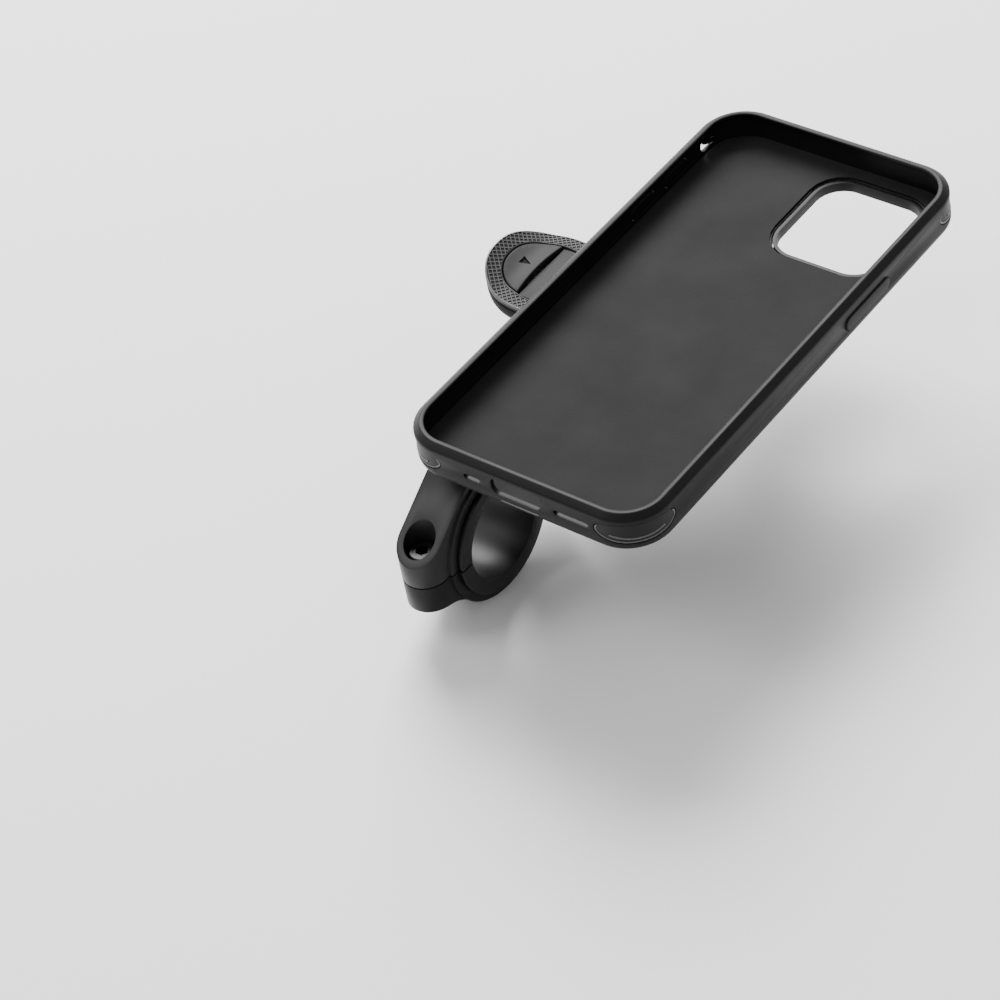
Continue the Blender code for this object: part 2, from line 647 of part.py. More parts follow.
def make_head(shop, paint, steel, rubber):
    make_head_base(shop, paint["head"])
    raise_tongue(make_head_cover(shop, paint["cover"]), TIP_RISE)
    make_head_bridge(shop, paint["smooth"])
    raise_tongue(make_release_button(shop, paint["smooth"]), TIP_RISE)
    raise_tongue(make_release_lever(shop, steel), UNDER_RISE)
    make_lever_spring(shop, steel)
    pin = [(PIVOT_X, HEAD_Y + y, PIVOT_Z) for y in (-5.4, 5.4)]
    shop.cylinder(PIVOT_PIN_R, pin[0], pin[1], 16, "lever_pivot_pin", steel)
    make_coupling_stud(shop, paint["stud"])
    small = (M3_R, M3_HEAD_R, 1.8, 2.0)
    make_cap_screw(shop, "stud_screw", HEAD_X, HEAD_Y, BASE_LOW - 0.1, 4.6, small, steel, upward=True)
    ring = [(17.0, 28.2), (17.0, 27.5), (15.0, 27.5), (15.0, 28.2)]
    shop.turned(ring, (HEAD_X, HEAD_Y, 0), 32, "friction_ring", rubber)
    for number, (x, y) in enumerate(PAD_SCREWS, 1):
        make_cap_screw(shop, f"arm_screw_{number}", x, y, ARM_LOW + 0.4, 5.6, small, steel, upward=True)
    tiny = (M2_R, M2_HEAD_R, 0.9, 1.3)
    for number, (x, y) in enumerate(COVER_SCREWS, 1):
        make_cap_screw(shop, f"cover_screw_{number}", x, y, BASE_LOW, 3.9, tiny, steel, upward=True)


# ---------------------------------------------------------------- phone case

def frame_profile():
    """Cross-section of the case's soft frame as (inset from the outer face, height)."""
    rounding = []
    for i in range(4):
        angle = math.radians(30 * i)
        rounding.append((EDGE_R * (1 - math.cos(angle)), CASE_LOW + EDGE_R * (1 - math.sin(angle))))
    outer = [(BEVEL_IN, CASE_TOP), (0.1, BEVEL_LOW), (0.0, BEVEL_LOW - 0.3)]
    inner = [(LEDGE, CASE_LOW), (LEDGE, FLOOR_TOP), (CASE_WALL, FLOOR_TOP), (CASE_WALL, 37.3)]
    shoulder = [(CASE_WALL + 0.35, 38.5), (CASE_WALL + 1.15, LIP_LOW)]
    lip = [(LIP_IN - 0.05, LIP_LOW), (LIP_IN, LIP_LOW + 0.35), (LIP_IN - 0.2, CASE_TOP)]
    return outer + rounding + inner + shoulder + lip


def on_case(reach, inset, height, corner):
    """A point of the case's side: reach along the outline from a corner's middle, inset from it."""
    side_x, side_y = corner
    half_arc = CASE_CORNER * math.pi / 4
    radius = CASE_CORNER - inset
    if abs(reach) <= half_arc:
        angle = math.pi / 4 + reach / CASE_CORNER
        x, y = radius * math.cos(angle), radius * math.sin(angle)
    elif reach > 0:
        x, y = -(reach - half_arc), radius
    else:
        x, y = radius, reach + half_arc
    centre_x = CASE_HALF_X - CASE_CORNER
    centre_y = CASE_HALF_Y - CASE_CORNER
    return (CASE_X + side_x * (centre_x + x), CASE_Y + side_y * (centre_y + y), height)


def pad_edges(reach, margin):
    """Lower and upper height of the lens-shaped pad at a reach from its middle."""
    full = PAD_REACH + margin
    share = min(abs(reach) / full, 1.0)
    round_end = math.sqrt(max(1 - share ** 6, 0.0))
    low = PAD_ENDS - (PAD_ENDS - PAD_LOW + margin) * math.sqrt(max(1 - share ** 2.6, 0.0))
    high = PAD_ENDS + (PAD_HIGH - PAD_ENDS + margin) * round_end
    return low, max(high, low + 0.05)


def corner_solid(shop, corner, margin, outer, inner, name=None, finish=None):
    """Lens-shaped solid on a corner, from the outer to the inner inset."""
    columns = 12
    full = PAD_REACH + margin
    sections = []
    for i in range(columns + 1):
        reach = -full * math.cos(math.pi * i / columns)
        low, high = pad_edges(reach, margin)
        edge = [(outer, low), (outer, high), (inner, high), (inner, low)]
        sections.append([on_case(reach, inset, height, corner) for inset, height in edge])
    return shop.loft(sections, name, finish)


def stadium(low, high, middle, half):
    left = arc(low + half, middle, half, 90, 270, 8)
    right = arc(high - half, middle, half, -90, 90, 8)
    return left + right


def side_hole(shop, low, high, middle, half, left):
    """Cutter through the left or the right wall."""
    start, end = (-CASE_HALF_X - 3, -CASE_HALF_X + 3) if left else (CASE_HALF_X - 3, CASE_HALF_X + 3)
    return shop.prism([stadium(low, high, middle, half)], CASE_X + start, CASE_X + end, turn=side_turn())


def front_turn():
    """Turns an outline drawn as (x, z) so that its thickness runs along Y."""
    return Matrix(((1, 0, 0, 0), (0, 0, 1, 0), (0, 1, 0, 0), (0, 0, 0, 1)))


def end_hole(shop, opening, radius):
    """Cutter through the case's bottom wall."""
    x0, x1, z0, z1 = opening
    outline = rounded_rectangle((x0 + x1) / 2, (z0 + z1) / 2, (x1 - x0) / 2, (z1 - z0) / 2, radius, 4)
    wall = CASE_Y - CASE_HALF_Y
    return shop.prism([outline], wall - 3, wall + 3, turn=front_turn())


CORNERS = {"corner_pad_front_right": (1, 1), "corner_pad_front_left": (-1, 1),
           "corner_pad_rear_left": (-1, -1), "corner_pad_rear_right": (1, -1)}


def make_case_frame(shop, finish):
    loops = [level(case_outline(inset), height) for inset, height in frame_profile()]
    frame = shop.loft(loops, "case_frame", finish, closed=True)
    for corner in CORNERS.values():
        combine(frame, corner_solid(shop, corner, GAP, -1.0, PAD_DEPTH), 'DIFFERENCE')
    combine(frame, side_hole(shop, *POWER_BUTTON, BUTTON_Z, BUTTON_HALF_Z, False), 'DIFFERENCE')
    for span in (VOLUME_UP_BUTTON, VOLUME_DOWN_BUTTON, MUTE_SLOT):
        combine(frame, side_hole(shop, *span, BUTTON_Z, BUTTON_HALF_Z, True), 'DIFFERENCE')
    combine(frame, end_hole(shop, PORT, 1.8), 'DIFFERENCE')
    combine(frame, end_hole(shop, SLOT_LEFT, 0.85), 'DIFFERENCE')
    combine(frame, end_hole(shop, SLOT_RIGHT, 0.85), 'DIFFERENCE')
    return frame


def camera_window(inset, steps=5):
    x, y, half_x, half_y, radius = CAMERA
    return rounded_rectangle(x, y, half_x - inset, half_y - inset, radius - inset, steps)


def make_case_back(shop, finish):
    holes = [circle(HEAD_X, HEAD_Y, SOCKET_R + GAP, 40), camera_window(0.0)]
    return shop.prism([case_outline(LEDGE + GAP)] + holes, CASE_LOW, FLOOR_TOP, "case_back", finish)


def make_case_lining(shop, finish):
    loops = [case_outline(CASE_WALL + GAP), camera_window(-0.5)]
    return shop.prism(loops, LINING_LOW, LINING_TOP, "case_lining", finish)


def make_camera_ring(shop, finish):
    loops = [camera_window(GAP), camera_window(1.3)]
    return shop.prism(loops, CASE_LOW, LINING_LOW - GAP, "camera_ring", finish)


def socket_mouth():
    """The socket's hole: round, with two notches that the stud's lugs pass."""
    inner, outer, half = STUD_R + 0.4, LUG_R + 0.3, LUG_HALF_ANGLE + 2
    points = []
    for notch in (angle - TWIST for angle in LUG_ANGLES):
        points += arc(HEAD_X, HEAD_Y, outer, notch - half, notch + half, 6)
        points += arc(HEAD_X, HEAD_Y, inner, notch + half, notch + 180 - half, 12)
    return points


def lock_slot():
    """Arc that the lock pin runs in as the case turns; its round ends stop the pin."""
    half = LOCK_PIN_R + 0.3
    slack = 1.0                # degrees past the pin at either end
    low, high = 180 - TWIST - slack, 180 + slack
    ends = [arc(HEAD_X, HEAD_Y, LOCK_R, turn, turn, 1)[0] for turn in (low, high)]
    points = arc(HEAD_X, HEAD_Y, LOCK_R + half, low, high, 6)
    points += arc(*ends[1], half, high, high + 180, 6)[1:-1]
    points += arc(HEAD_X, HEAD_Y, LOCK_R - half, high, low, 6)
    points += arc(*ends[0], half, low + 180, low + 360, 6)[1:-1]
    return points


def make_coupling_socket(shop, finish):
    loops = [circle(HEAD_X, HEAD_Y, SOCKET_R, 40), socket_mouth(), lock_slot()]
    socket = shop.prism(loops, CASE_LOW, SOCKET_TOP, "coupling_socket", finish)
    room = [(HEAD_X, HEAD_Y, z) for z in (FLANGE_TOP, SOCKET_TOP + 1)]
    combine(socket, shop.cylinder(SOCKET_WALL_IN, room[0], room[1], 40), 'DIFFERENCE')
    set_pivot(socket, (HEAD_X, HEAD_Y, 0))
    return socket


def make_side_button(shop, name, span, left, finish):
    """Flexing cover over one of the phone's side buttons, standing proud of the wall."""
    low, high = span
    outline = stadium(low + GAP, high - GAP, BUTTON_Z, BUTTON_HALF_Z - GAP)
    inner, outer = CASE_HALF_X - CASE_WALL + 0.05, CASE_HALF_X + 0.4
    start, end = (-outer, -inner) if left else (inner, outer)
    return shop.prism([outline], CASE_X + start, CASE_X + end, name, finish, side_turn())


def make_case(shop, paint, steel, rubber):
    make_case_frame(shop, paint["case"])
    make_case_back(shop, paint["case_back"])
    make_case_lining(shop, paint["lining"])
    make_camera_ring(shop, paint["case_back"])
    make_coupling_socket(shop, paint["stud"])
    cover = [(HEAD_X, HEAD_Y, z) for z in (SOCKET_TOP + GAP, FLOOR_TOP)]
    shop.cylinder(SOCKET_R, cover[0], cover[1], 40, "socket_cover", steel)
    for name, corner in CORNERS.items():
        corner_solid(shop, corner, 0.0, 0.05, PAD_DEPTH - GAP, name, rubber)
    make_side_button(shop, "power_button_cover", POWER_BUTTON, False, paint["case"])
    make_side_button(shop, "volume_up_cover", VOLUME_UP_BUTTON, True, paint["case"])
    make_side_button(shop, "volume_down_cover", VOLUME_DOWN_BUTTON, True, paint["case"])


def shade_round_pieces(shop):
    for item in shop.parts.objects:
        if item.type == 'MESH':
            item.data.shade_smooth()
            item.data.set_sharp_from_angle(angle=math.radians(30))


def build():
    clear_scene()
    shop = Shop()
    steel = material("black_steel", (0.05, 0.05, 0.055), 0.35, 1.0)
    rubber = material("rubber", (0.035, 0.035, 0.037), 0.6)
    paint = {
        "anodised": material("anodised_arm", (0.09, 0.09, 0.095), 0.4, 0.9),
        "anodised_lower": material("anodised_cap", (0.08, 0.08, 0.085), 0.4, 0.9),
        "head": material("head_plastic", (0.04, 0.04, 0.043), 0.5),
        "cover": material("cover_plastic", (0.09, 0.09, 0.095), 0.55),
        "smooth": material("button_plastic", (0.1, 0.1, 0.105), 0.45),
        "stud": material("stud_metal", (0.3, 0.3, 0.31), 0.35, 1.0),
        "case": material("case_frame_plastic", (0.05, 0.05, 0.052), 0.5),
        "case_back": material("case_back_plastic", (0.03, 0.03, 0.032), 0.5),
        "lining": material("lining_fabric", (0.12, 0.12, 0.125), 0.95),
    }
    make_clamp(shop, paint, steel, rubber)
    make_head(shop, paint, steel, rubber)
    make_case(shop, paint, steel, rubber)
    shade_round_pieces(shop)


build()
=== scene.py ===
"""Looks of the bicycle phone mount: fine meshes, materials, studio and camera.

Shapes are drawn in millimetres in the row frame, and scaled to metres when they are made.
The weld distance, the materials' bump, the studio and the camera are in metres.
"""
import math

import bmesh
import bpy
from mathutils import Matrix, Vector


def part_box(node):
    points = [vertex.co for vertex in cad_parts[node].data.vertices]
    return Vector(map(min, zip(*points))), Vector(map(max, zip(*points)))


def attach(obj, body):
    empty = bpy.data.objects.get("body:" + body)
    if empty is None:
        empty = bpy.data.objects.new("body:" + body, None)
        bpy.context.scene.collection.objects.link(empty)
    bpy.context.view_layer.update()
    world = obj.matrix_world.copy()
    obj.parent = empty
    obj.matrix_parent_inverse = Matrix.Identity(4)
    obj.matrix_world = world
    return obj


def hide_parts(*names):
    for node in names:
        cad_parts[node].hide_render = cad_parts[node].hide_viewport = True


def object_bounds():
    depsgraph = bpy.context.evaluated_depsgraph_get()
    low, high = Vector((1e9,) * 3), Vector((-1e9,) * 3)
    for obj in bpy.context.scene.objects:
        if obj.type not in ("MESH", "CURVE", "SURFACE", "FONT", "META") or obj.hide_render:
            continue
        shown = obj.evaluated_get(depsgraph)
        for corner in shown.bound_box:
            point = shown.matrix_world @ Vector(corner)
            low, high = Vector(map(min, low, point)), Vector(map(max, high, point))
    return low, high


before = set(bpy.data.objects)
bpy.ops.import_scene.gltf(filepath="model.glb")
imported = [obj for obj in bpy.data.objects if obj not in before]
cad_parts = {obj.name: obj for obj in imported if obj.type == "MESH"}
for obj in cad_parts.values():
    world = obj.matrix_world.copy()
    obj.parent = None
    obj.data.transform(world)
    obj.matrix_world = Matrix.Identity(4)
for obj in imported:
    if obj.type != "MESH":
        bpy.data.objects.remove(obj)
cad_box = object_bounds()

MM = 0.001
WELD = 0.000002


# ---------------------------------------------------------------- places from the frame

def span(node):
    """A CAD node's lowest and highest corner in millimetres."""
    low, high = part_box(node)
    return low / MM, high / MM


ARM_LOW_CORNER, ARM_HIGH_CORNER = span("clamp_arm")
CAP_LOW, CAP_HIGH = span("clamp_cap")
FRAME_LOW, FRAME_HIGH = span("case_frame")
BASE_LOW, _ = span("head_base")
COVER_LOW, _ = span("head_cover")
STUD_LOW, STUD_HIGH = span("coupling_stud")
_, SHIM_HIGH = span("shim_upper")

# Clamp
COLLAR_HALF = CAP_HIGH.x
COLLAR_R = -CAP_LOW.z
SPLIT = ARM_LOW_CORNER.z
BORE_R = 15.9
BOSS_R = 6.2
BOSS_Y = -ARM_LOW_CORNER.y - BOSS_R
ARM_TOP = ARM_HIGH_CORNER.z
ARM_LOW = 16.5
SLOPE = 0.70                    # rise of the arm's rear face
SLOPE_AT_AXIS = 25.9            # its height over the bar's axis
ARM_FILLET = 4.0
PAD_HALF = ARM_HIGH_CORNER.x
PAD_END = ARM_HIGH_CORNER.y
PAD_START = 50.0
EAR_LOW = -8.2                  # underside of the lower half's two ears
EAR_FILLET = 12.5
BAR_R = 13.0
SHIM_R = 15.6
FLANGE_R = SHIM_HIGH.z
FLANGE_OUT = SHIM_HIGH.x
REAR_FLOOR, FRONT_FLOOR = 2.3, -3.0     # where the two counterbores end
M4_BORE_R, M4_CLEAR_R, M4_THREAD_R = 4.3, 2.3, 2.08
M3_BORE_R, M3_CLEAR_R, M3_THREAD_R = 3.1, 1.8, 1.4
PAD_HEAD_DEPTH = 2.5            # how far an arm screw's head is sunk
CLAMP_EDGE, SHIM_EDGE = 0.35, 0.28      # rounding of the metal's and the shims' edges
THREAD_DEPTH = 10.0
FAR = 100.0                     # a length past the whole clamp, for what cuts it

# Head
HEAD_X = (STUD_LOW.x + STUD_HIGH.x) / 2
HEAD_Y = (STUD_LOW.y + STUD_HIGH.y) / 2
HEAD_R = 19.5
HEAD_BOTTOM = BASE_LOW.z
HEAD_WALL = 2.0
HEAD_ROUNDING = 2.6
BASE_FLOOR = 22.4               # 0.4 lower than the CAD's, clear of the pressed lever
BASE_TOP = 26.4
COVER_UNDER = 26.7
HEAD_TOP = 28.0
TONGUE_X = -16.0
TONGUE_OVAL = (TONGUE_X - COVER_LOW.x, 14.95)
POCKET_OVAL = (13.05, 10.6)
OVAL_POWER = 2.3                # 2 would be an ellipse
# The tongue's rise as (x, height) points, falling x; the underside starts to rise later.
TIP_RISE = ((-12.0, 0.0), (-16.0, 0.45), (-20.0, 1.3), (-24.0, 1.5), (-27.0, 2.3), (-30.0, 3.4),
            (-34.0, 5.4))
UNDER_RISE = ((-19.5, 0.0),) + TIP_RISE[3:]
CROWN = 0.008                   # fall of the crowned top, per square of the distance from its middle
CROWN_EASE = 0.9
RISE_START, RISE_RUN = -12.0, 6.0
RISE_STEP, RISE_STEP_ACROSS = 1.0, 1.5
POCKET_END = 2.6
POCKET_CORNER = 4.0
BRIDGE_LEFT, BRIDGE_UNDER = -19.5, 26.6
BRIDGE_LEGS_X, BRIDGE_LEGS_Y, BRIDGE_LEG_R, BRIDGE_LEG_TOP = (-17.6, -1.6), 8.4, 1.0, 27.2
BUTTON_UNDER = 26.5
BUTTON_HOLLOW = 0.55            # depth of the button's curved inner edge
STUD_R = 10.4
STUD_GROOVE = (14.7, 17.3, 27.2)        # inner and outer radius and floor of the ring's groove
STUD_SCREW_DEPTH = 2.1
LOCK_R, LOCK_HOLE_R = 12.9, 1.5
COVER_BORE_R, COVER_CLEAR_R, COVER_HEAD_DEPTH = 1.95, 1.1, 1.2
GAP = 0.3
FIELD_END = -4.0                # where the crosshatched field stops, under the case
FIELD_EDGE, FIELD_GUARD = 0.6, 0.35     # plain margins outside and inside the field
FIELD_DEPTH = 0.22
RIM = 0.55                      # width of the cover's polished rim, coloured lighter as a painted highlight
RIM_LOW = 27.5                  # where the cover's plain side ends
HATCH_PITCH = 1.08
HATCH_X = -14.0                 # the middle of the hatching
HATCH_STEP, HATCH_KEEP = 0.15, 4        # a ridge is tested this finely, and every 4th point kept
HATCH_ROWS, HATCH_STEPS = 40, 260       # reach of the hatching to each side of its middle
RIDGE_TOP_HIGHLIGHT = 2                  # which of the cover's materials the ridge tops have: the lighter one, a painted highlight
DIAGONAL = math.sqrt(0.5)
ARROW = ((-25.5, 1.3), (-25.5, -1.4), (-22.4, -0.2))
ARROW_DEPTH = 0.45
# A ridge's section, as (offset, height) points
RIDGE = ((-0.26, HEAD_TOP - 0.28), (-0.11, HEAD_TOP), (0.11, HEAD_TOP), (0.26, HEAD_TOP - 0.28))

# Case
CASE_X = (FRAME_LOW.x + FRAME_HIGH.x) / 2
CASE_Y = (FRAME_LOW.y + FRAME_HIGH.y) / 2
HALF_X = (FRAME_HIGH.x - FRAME_LOW.x) / 2
HALF_Y = (FRAME_HIGH.y - FRAME_LOW.y) / 2
CASE_LOW, CASE_TOP = FRAME_LOW.z, FRAME_HIGH.z
CASE_CORNER = 12.2
CASE_WALL = 1.2
EDGE_R = 3.1
LEDGE = 3.7
FLOOR_TOP = 31.1
LIP_LOW = 39.35
SHOULDER = ((0.0, 37.3), (0.1, 37.95), (0.35, 38.5), (1.15, LIP_LOW))   # from the wall to the lip
LIP_IN = 2.85
BEVEL_LOW, BEVEL_IN = 38.85, 1.6
SOCKET_R = 16.7
LINING_LOW = 31.4
CAMERA = (44.4, 107.9, 16.5, 17.0, 9.0)     # middle, half sizes and corner radius
CAMERA_RING = 1.3
BUTTON_Z, BUTTON_HALF = 34.3, 2.1
POWER_BUTTON = (71.9, 92.3)
VOLUME_UP_BUTTON = (98.0, 109.0)
VOLUME_DOWN_BUTTON = (83.0, 94.0)
MUTE_SLOT = (115.0, 121.5)
WALL_CUT = 3.0                  # reach of a hole's cutter to each side of the wall's face
# Openings in the end wall: from x to x, from z to z
PORT = (22.3, 37.5, 32.7, 37.9)
SLOT_LEFT = (14.0, 19.0, 33.7, 35.4)
SLOT_RIGHT = (40.8, 51.0, 33.7, 35.4)
PORT_CORNER, SLOT_CORNER = 2.2, 0.84
PORT_LIP_X, PORT_LIP_LONG, PORT_LIP_Z, PORT_LIP_R = 25.0, 11.2, 31.2, 0.23
PORT_LIP_OUT, PORT_LIP_TURN = 0.02, 0.12
# Corner pads: half length round the corner, lowest and highest edge, height of the ends
PAD_REACH, PAD_LOW, PAD_HIGH, PAD_ENDS, PAD_DEPTH = 11.2, 31.8, 37.3, 34.9, 0.75
PAD_POWERS = (2.6, 6)           # how full the lower and the upper edge are; 2 would be an ellipse
PAD_END_HEIGHT = 0.05
PAD_FACE, PAD_GAP = 0.16, 0.25
PAD_RIM_R, PAD_RIM_IN = 0.25, 0.25
RIB_R, RIB_IN, RIB_REACH, RIB_Z, RIB_SAG = 0.29, 0.27, 7.2, 34.0, 0.9
BUTTON_GAP, BUTTON_OUT, BUTTON_EDGE = 0.2, 0.4, 0.45
CORNERS = {
    "corner_pad_front_left": (-1, -1), "corner_pad_front_right": (1, -1),
    "corner_pad_rear_left": (-1, 1), "corner_pad_rear_right": (1, 1),
}

PAD_SCREWS = [(x, HEAD_Y + y) for x in (-7.5, 7.5) for y in (-8.0, 8.0)]
COVER_SCREWS = [(x, HEAD_Y + side * y) for x, y in ((-9.0, 12.0), (13.0, 11.5)) for side in (-1, 1)]


# ---------------------------------------------------------------- outlines

def arc(cx, cy, radius, start, end, steps):
    turn = (end - start) / steps
    angles = [math.radians(start + turn * i) for i in range(steps + 1)]
    return [(cx + radius * math.cos(a), cy + radius * math.sin(a)) for a in angles]


def circle(cx, cy, radius, steps):
    return arc(cx, cy, radius, 0, 360, steps)[:-1]


def rounded_rectangle(cx, cy, half_x, half_y, radius, steps):
    points = []
    for side_x, side_y, start in ((1, 1, 0), (-1, 1, 90), (-1, -1, 180), (1, -1, 270)):
        x = cx + side_x * (half_x - radius)
        y = cy + side_y * (half_y - radius)
        points += arc(x, y, radius, start, start + 90, steps)
    return points


def case_outline(inset, steps=20):
    radius = max(CASE_CORNER - inset, 0.5)
    return rounded_rectangle(CASE_X, CASE_Y, HALF_X - inset, HALF_Y - inset, radius, steps)


def oval_end(sizes, inset, steps, start=90.0, end=270.0):
    """The round end of the tongue or its pocket, between an ellipse and a rectangle."""
    points = []
    for i in range(steps + 1):
        angle = math.radians(start + (end - start) * i / steps)
        along, across = [math.copysign(abs(turn) ** (2 / OVAL_POWER), turn)
                         for turn in (math.cos(angle), math.sin(angle))]
        points.append((TONGUE_X + (sizes[0] - inset) * along, HEAD_Y + (sizes[1] - inset) * across))
    return points


def head_flare(inset):
    """Slope, in radians, of the straight sides that run from the tongue to the round head."""
    distance, half = HEAD_X - TONGUE_X, TONGUE_OVAL[1] - inset
    return math.asin((HEAD_R - inset) / math.hypot(distance, half)) - math.atan2(half, distance)


def head_outline(inset, steps=48):
    flare = math.degrees(head_flare(inset))
    round_side = arc(HEAD_X, HEAD_Y, HEAD_R - inset, -90 - flare, 90 + flare, steps)
    return round_side + oval_end(TONGUE_OVAL, inset, 72)


def pocket_outline(inset, left=None):
    end = POCKET_END - inset
    low, high = HEAD_Y - POCKET_OVAL[1] + inset, HEAD_Y + POCKET_OVAL[1] - inset
    corner = POCKET_CORNER
    right = arc(end - corner, low + corner, corner, -90, 0, 10)
    right += arc(end - corner, high - corner, corner, 0, 90, 10)
    if left is not None:
        return right + [(left, high), (left, low)]
    return right + oval_end(POCKET_OVAL, inset, 72)


def button_outline():
    """The button: the oval end of the pocket, closed by a hollow edge beside the bridge."""
    end = BRIDGE_LEFT - GAP
    share = (TONGUE_X - end) / (POCKET_OVAL[0] - GAP)
    start = 90 + math.degrees(math.asin(share ** (OVAL_POWER / 2)))
    round_side = oval_end(POCKET_OVAL, GAP, 72, start, 360 - start)
    half = round_side[0][1] - HEAD_Y
    bow = (half * half + BUTTON_HOLLOW * BUTTON_HOLLOW) / (2 * BUTTON_HOLLOW)
    swing = math.degrees(math.asin(half / bow))
    inner = arc(end - BUTTON_HOLLOW + bow, HEAD_Y, bow, 180 + swing, 180 - swing, 36)
    return round_side + inner[1:-1]


def field_outline():
    """The crosshatched horseshoe of the tongue."""
    outer_half = TONGUE_OVAL[1] - FIELD_EDGE
    outer_end = outer_half + (FIELD_END - TONGUE_X) * math.tan(head_flare(FIELD_EDGE))
    inner_half = POCKET_OVAL[1] + FIELD_GUARD
    outer = [(FIELD_END, HEAD_Y + outer_end)] + oval_end(TONGUE_OVAL, FIELD_EDGE, 60)
    outer += [(FIELD_END, HEAD_Y - outer_end)]
    inner = [(FIELD_END, HEAD_Y + inner_half)] + oval_end(POCKET_OVAL, -FIELD_GUARD, 60)
    inner += [(FIELD_END, HEAD_Y - inner_half)]
    return outer + inner[::-1]


def arm_outline():
    """The arm from above: round at the rear, flaring to the pad under the head."""
    rear = arc(0, -BOSS_Y, BOSS_R, 180, 360, 48)
    flare = 12
    flare_from = PAD_START - flare
    corner = 5
    side = []
    for i in range(17):
        share = i / 16
        ease = share * share * (3 - 2 * share)
        side.append((BOSS_R + (PAD_HALF - BOSS_R) * ease, flare_from + flare * share))
    side += arc(PAD_HALF - corner, PAD_END - corner, corner, 0, 90, 14)
    return rear + side + [(-x, y) for x, y in reversed(side)]


def arm_side():
    """The arm from the side, as (y, z)."""
    rear = -BOSS_Y - BOSS_R - 1
    front = BOSS_Y + BOSS_R
    knee = (ARM_TOP - SLOPE_AT_AXIS) / SLOPE
    under = arc(front + ARM_FILLET, ARM_LOW - ARM_FILLET, ARM_FILLET, 90, 180, 16)
    top = [(rear, 0.0), (rear, SLOPE_AT_AXIS + SLOPE * rear), (knee, ARM_TOP), (PAD_END + 1, ARM_TOP)]
    return top + [(PAD_END + 1, ARM_LOW)] + under + [(front, 0.0)]


# ---------------------------------------------------------------- mesh tools

# Turns for a prism whose outline is (y, z) and runs along X, or (x, z) and runs along Y
ALONG_X = Matrix(((0, 0, 1, 0), (1, 0, 0, 0), (0, 1, 0, 0), (0, 0, 0, 1)))
ALONG_Y = Matrix(((1, 0, 0, 0), (0, 0, 1, 0), (0, 1, 0, 0), (0, 0, 0, 1)))


def linked(name, data):
    item = bpy.data.objects.new(name, data)
    bpy.context.scene.collection.objects.link(item)
    return item


def evaluated_mesh(item):
    """What an object's modifiers or curve settings make of it, as a new mesh."""
    bpy.context.view_layer.update()
    graph = bpy.context.evaluated_depsgraph_get()
    return bpy.data.meshes.new_from_object(item.evaluated_get(graph))


def new_object(name, made):
    """An object in metres out of a mesh drawn in millimetres."""
    bmesh.ops.remove_doubles(made, verts=made.verts, dist=WELD / MM)
    bmesh.ops.recalc_face_normals(made, faces=made.faces)
    bmesh.ops.scale(made, vec=(MM, MM, MM), verts=made.verts)
    mesh = bpy.data.meshes.new(name)
    made.to_mesh(mesh)
    made.free()
    return linked(name, mesh)


def prism(loops, low, high, name="cutter", turn=None):
    """A flat outline with holes, as a solid from low to high."""
    curve = bpy.data.curves.new("outline", 'CURVE')
    curve.dimensions = '2D'
    curve.fill_mode = 'BOTH'
    curve.extrude = (high - low) / 2 * MM
    for loop in loops:
        spline = curve.splines.new('POLY')
        spline.points.add(len(loop) - 1)
        for point, (x, y) in zip(spline.points, loop):
            point.co = (x * MM, y * MM, 0.0, 1.0)
        spline.use_cyclic_u = True
    outline = linked("outline", curve)
    mesh = evaluated_mesh(outline)
    mesh.transform((turn or Matrix()) @ Matrix.Translation((0, 0, (low + high) / 2 * MM)))
    bpy.data.objects.remove(outline, do_unlink=True)
    made = bmesh.new()
    made.from_mesh(mesh)
    bmesh.ops.scale(made, vec=(1 / MM,) * 3, verts=made.verts)
    bpy.data.meshes.remove(mesh)
    bmesh.ops.remove_doubles(made, verts=made.verts, dist=WELD / MM)
    flat = [e for e in made.edges if len(e.link_faces) == 2 and e.calc_face_angle() < 0.001]
    bmesh.ops.dissolve_edges(made, edges=flat, use_verts=False)
    return new_object(name, made)


def loft(loops, name="cutter", closed=False):
    """Skin equal loops of 3D points in order."""
    made = bmesh.new()
    rings = [[made.verts.new(point) for point in loop] for loop in loops]
    pairs = list(zip(rings, rings[1:]))
    if closed:
        pairs.append((rings[-1], rings[0]))
    else:
        made.faces.new(rings[0])
        made.faces.new(rings[-1])
    for below, above in pairs:
        for i in range(len(below)):
            j = (i + 1) % len(below)
            made.faces.new((below[i], below[j], above[j], above[i]))
    return new_object(name, made)


def cylinder(radius, start, end, steps=64, name="cutter"):
    start, end = Vector(start), Vector(end)
    made = bmesh.new()
    turn = Vector((0, 0, 1)).rotation_difference(end - start).to_matrix().to_4x4()
    bmesh.ops.create_cone(made, cap_ends=True, segments=steps, radius1=radius, radius2=radius,
                          depth=(end - start).length, matrix=Matrix.Translation((start + end) / 2) @ turn)
    return new_object(name, made)


def box(low, high, name="cutter"):
    low, high = Vector(low), Vector(high)
    made = bmesh.new()
    place = Matrix.Translation((low + high) / 2) @ Matrix.Diagonal((*(high - low), 1.0))
    bmesh.ops.create_cube(made, size=1.0, matrix=place)
    return new_object(name, made)


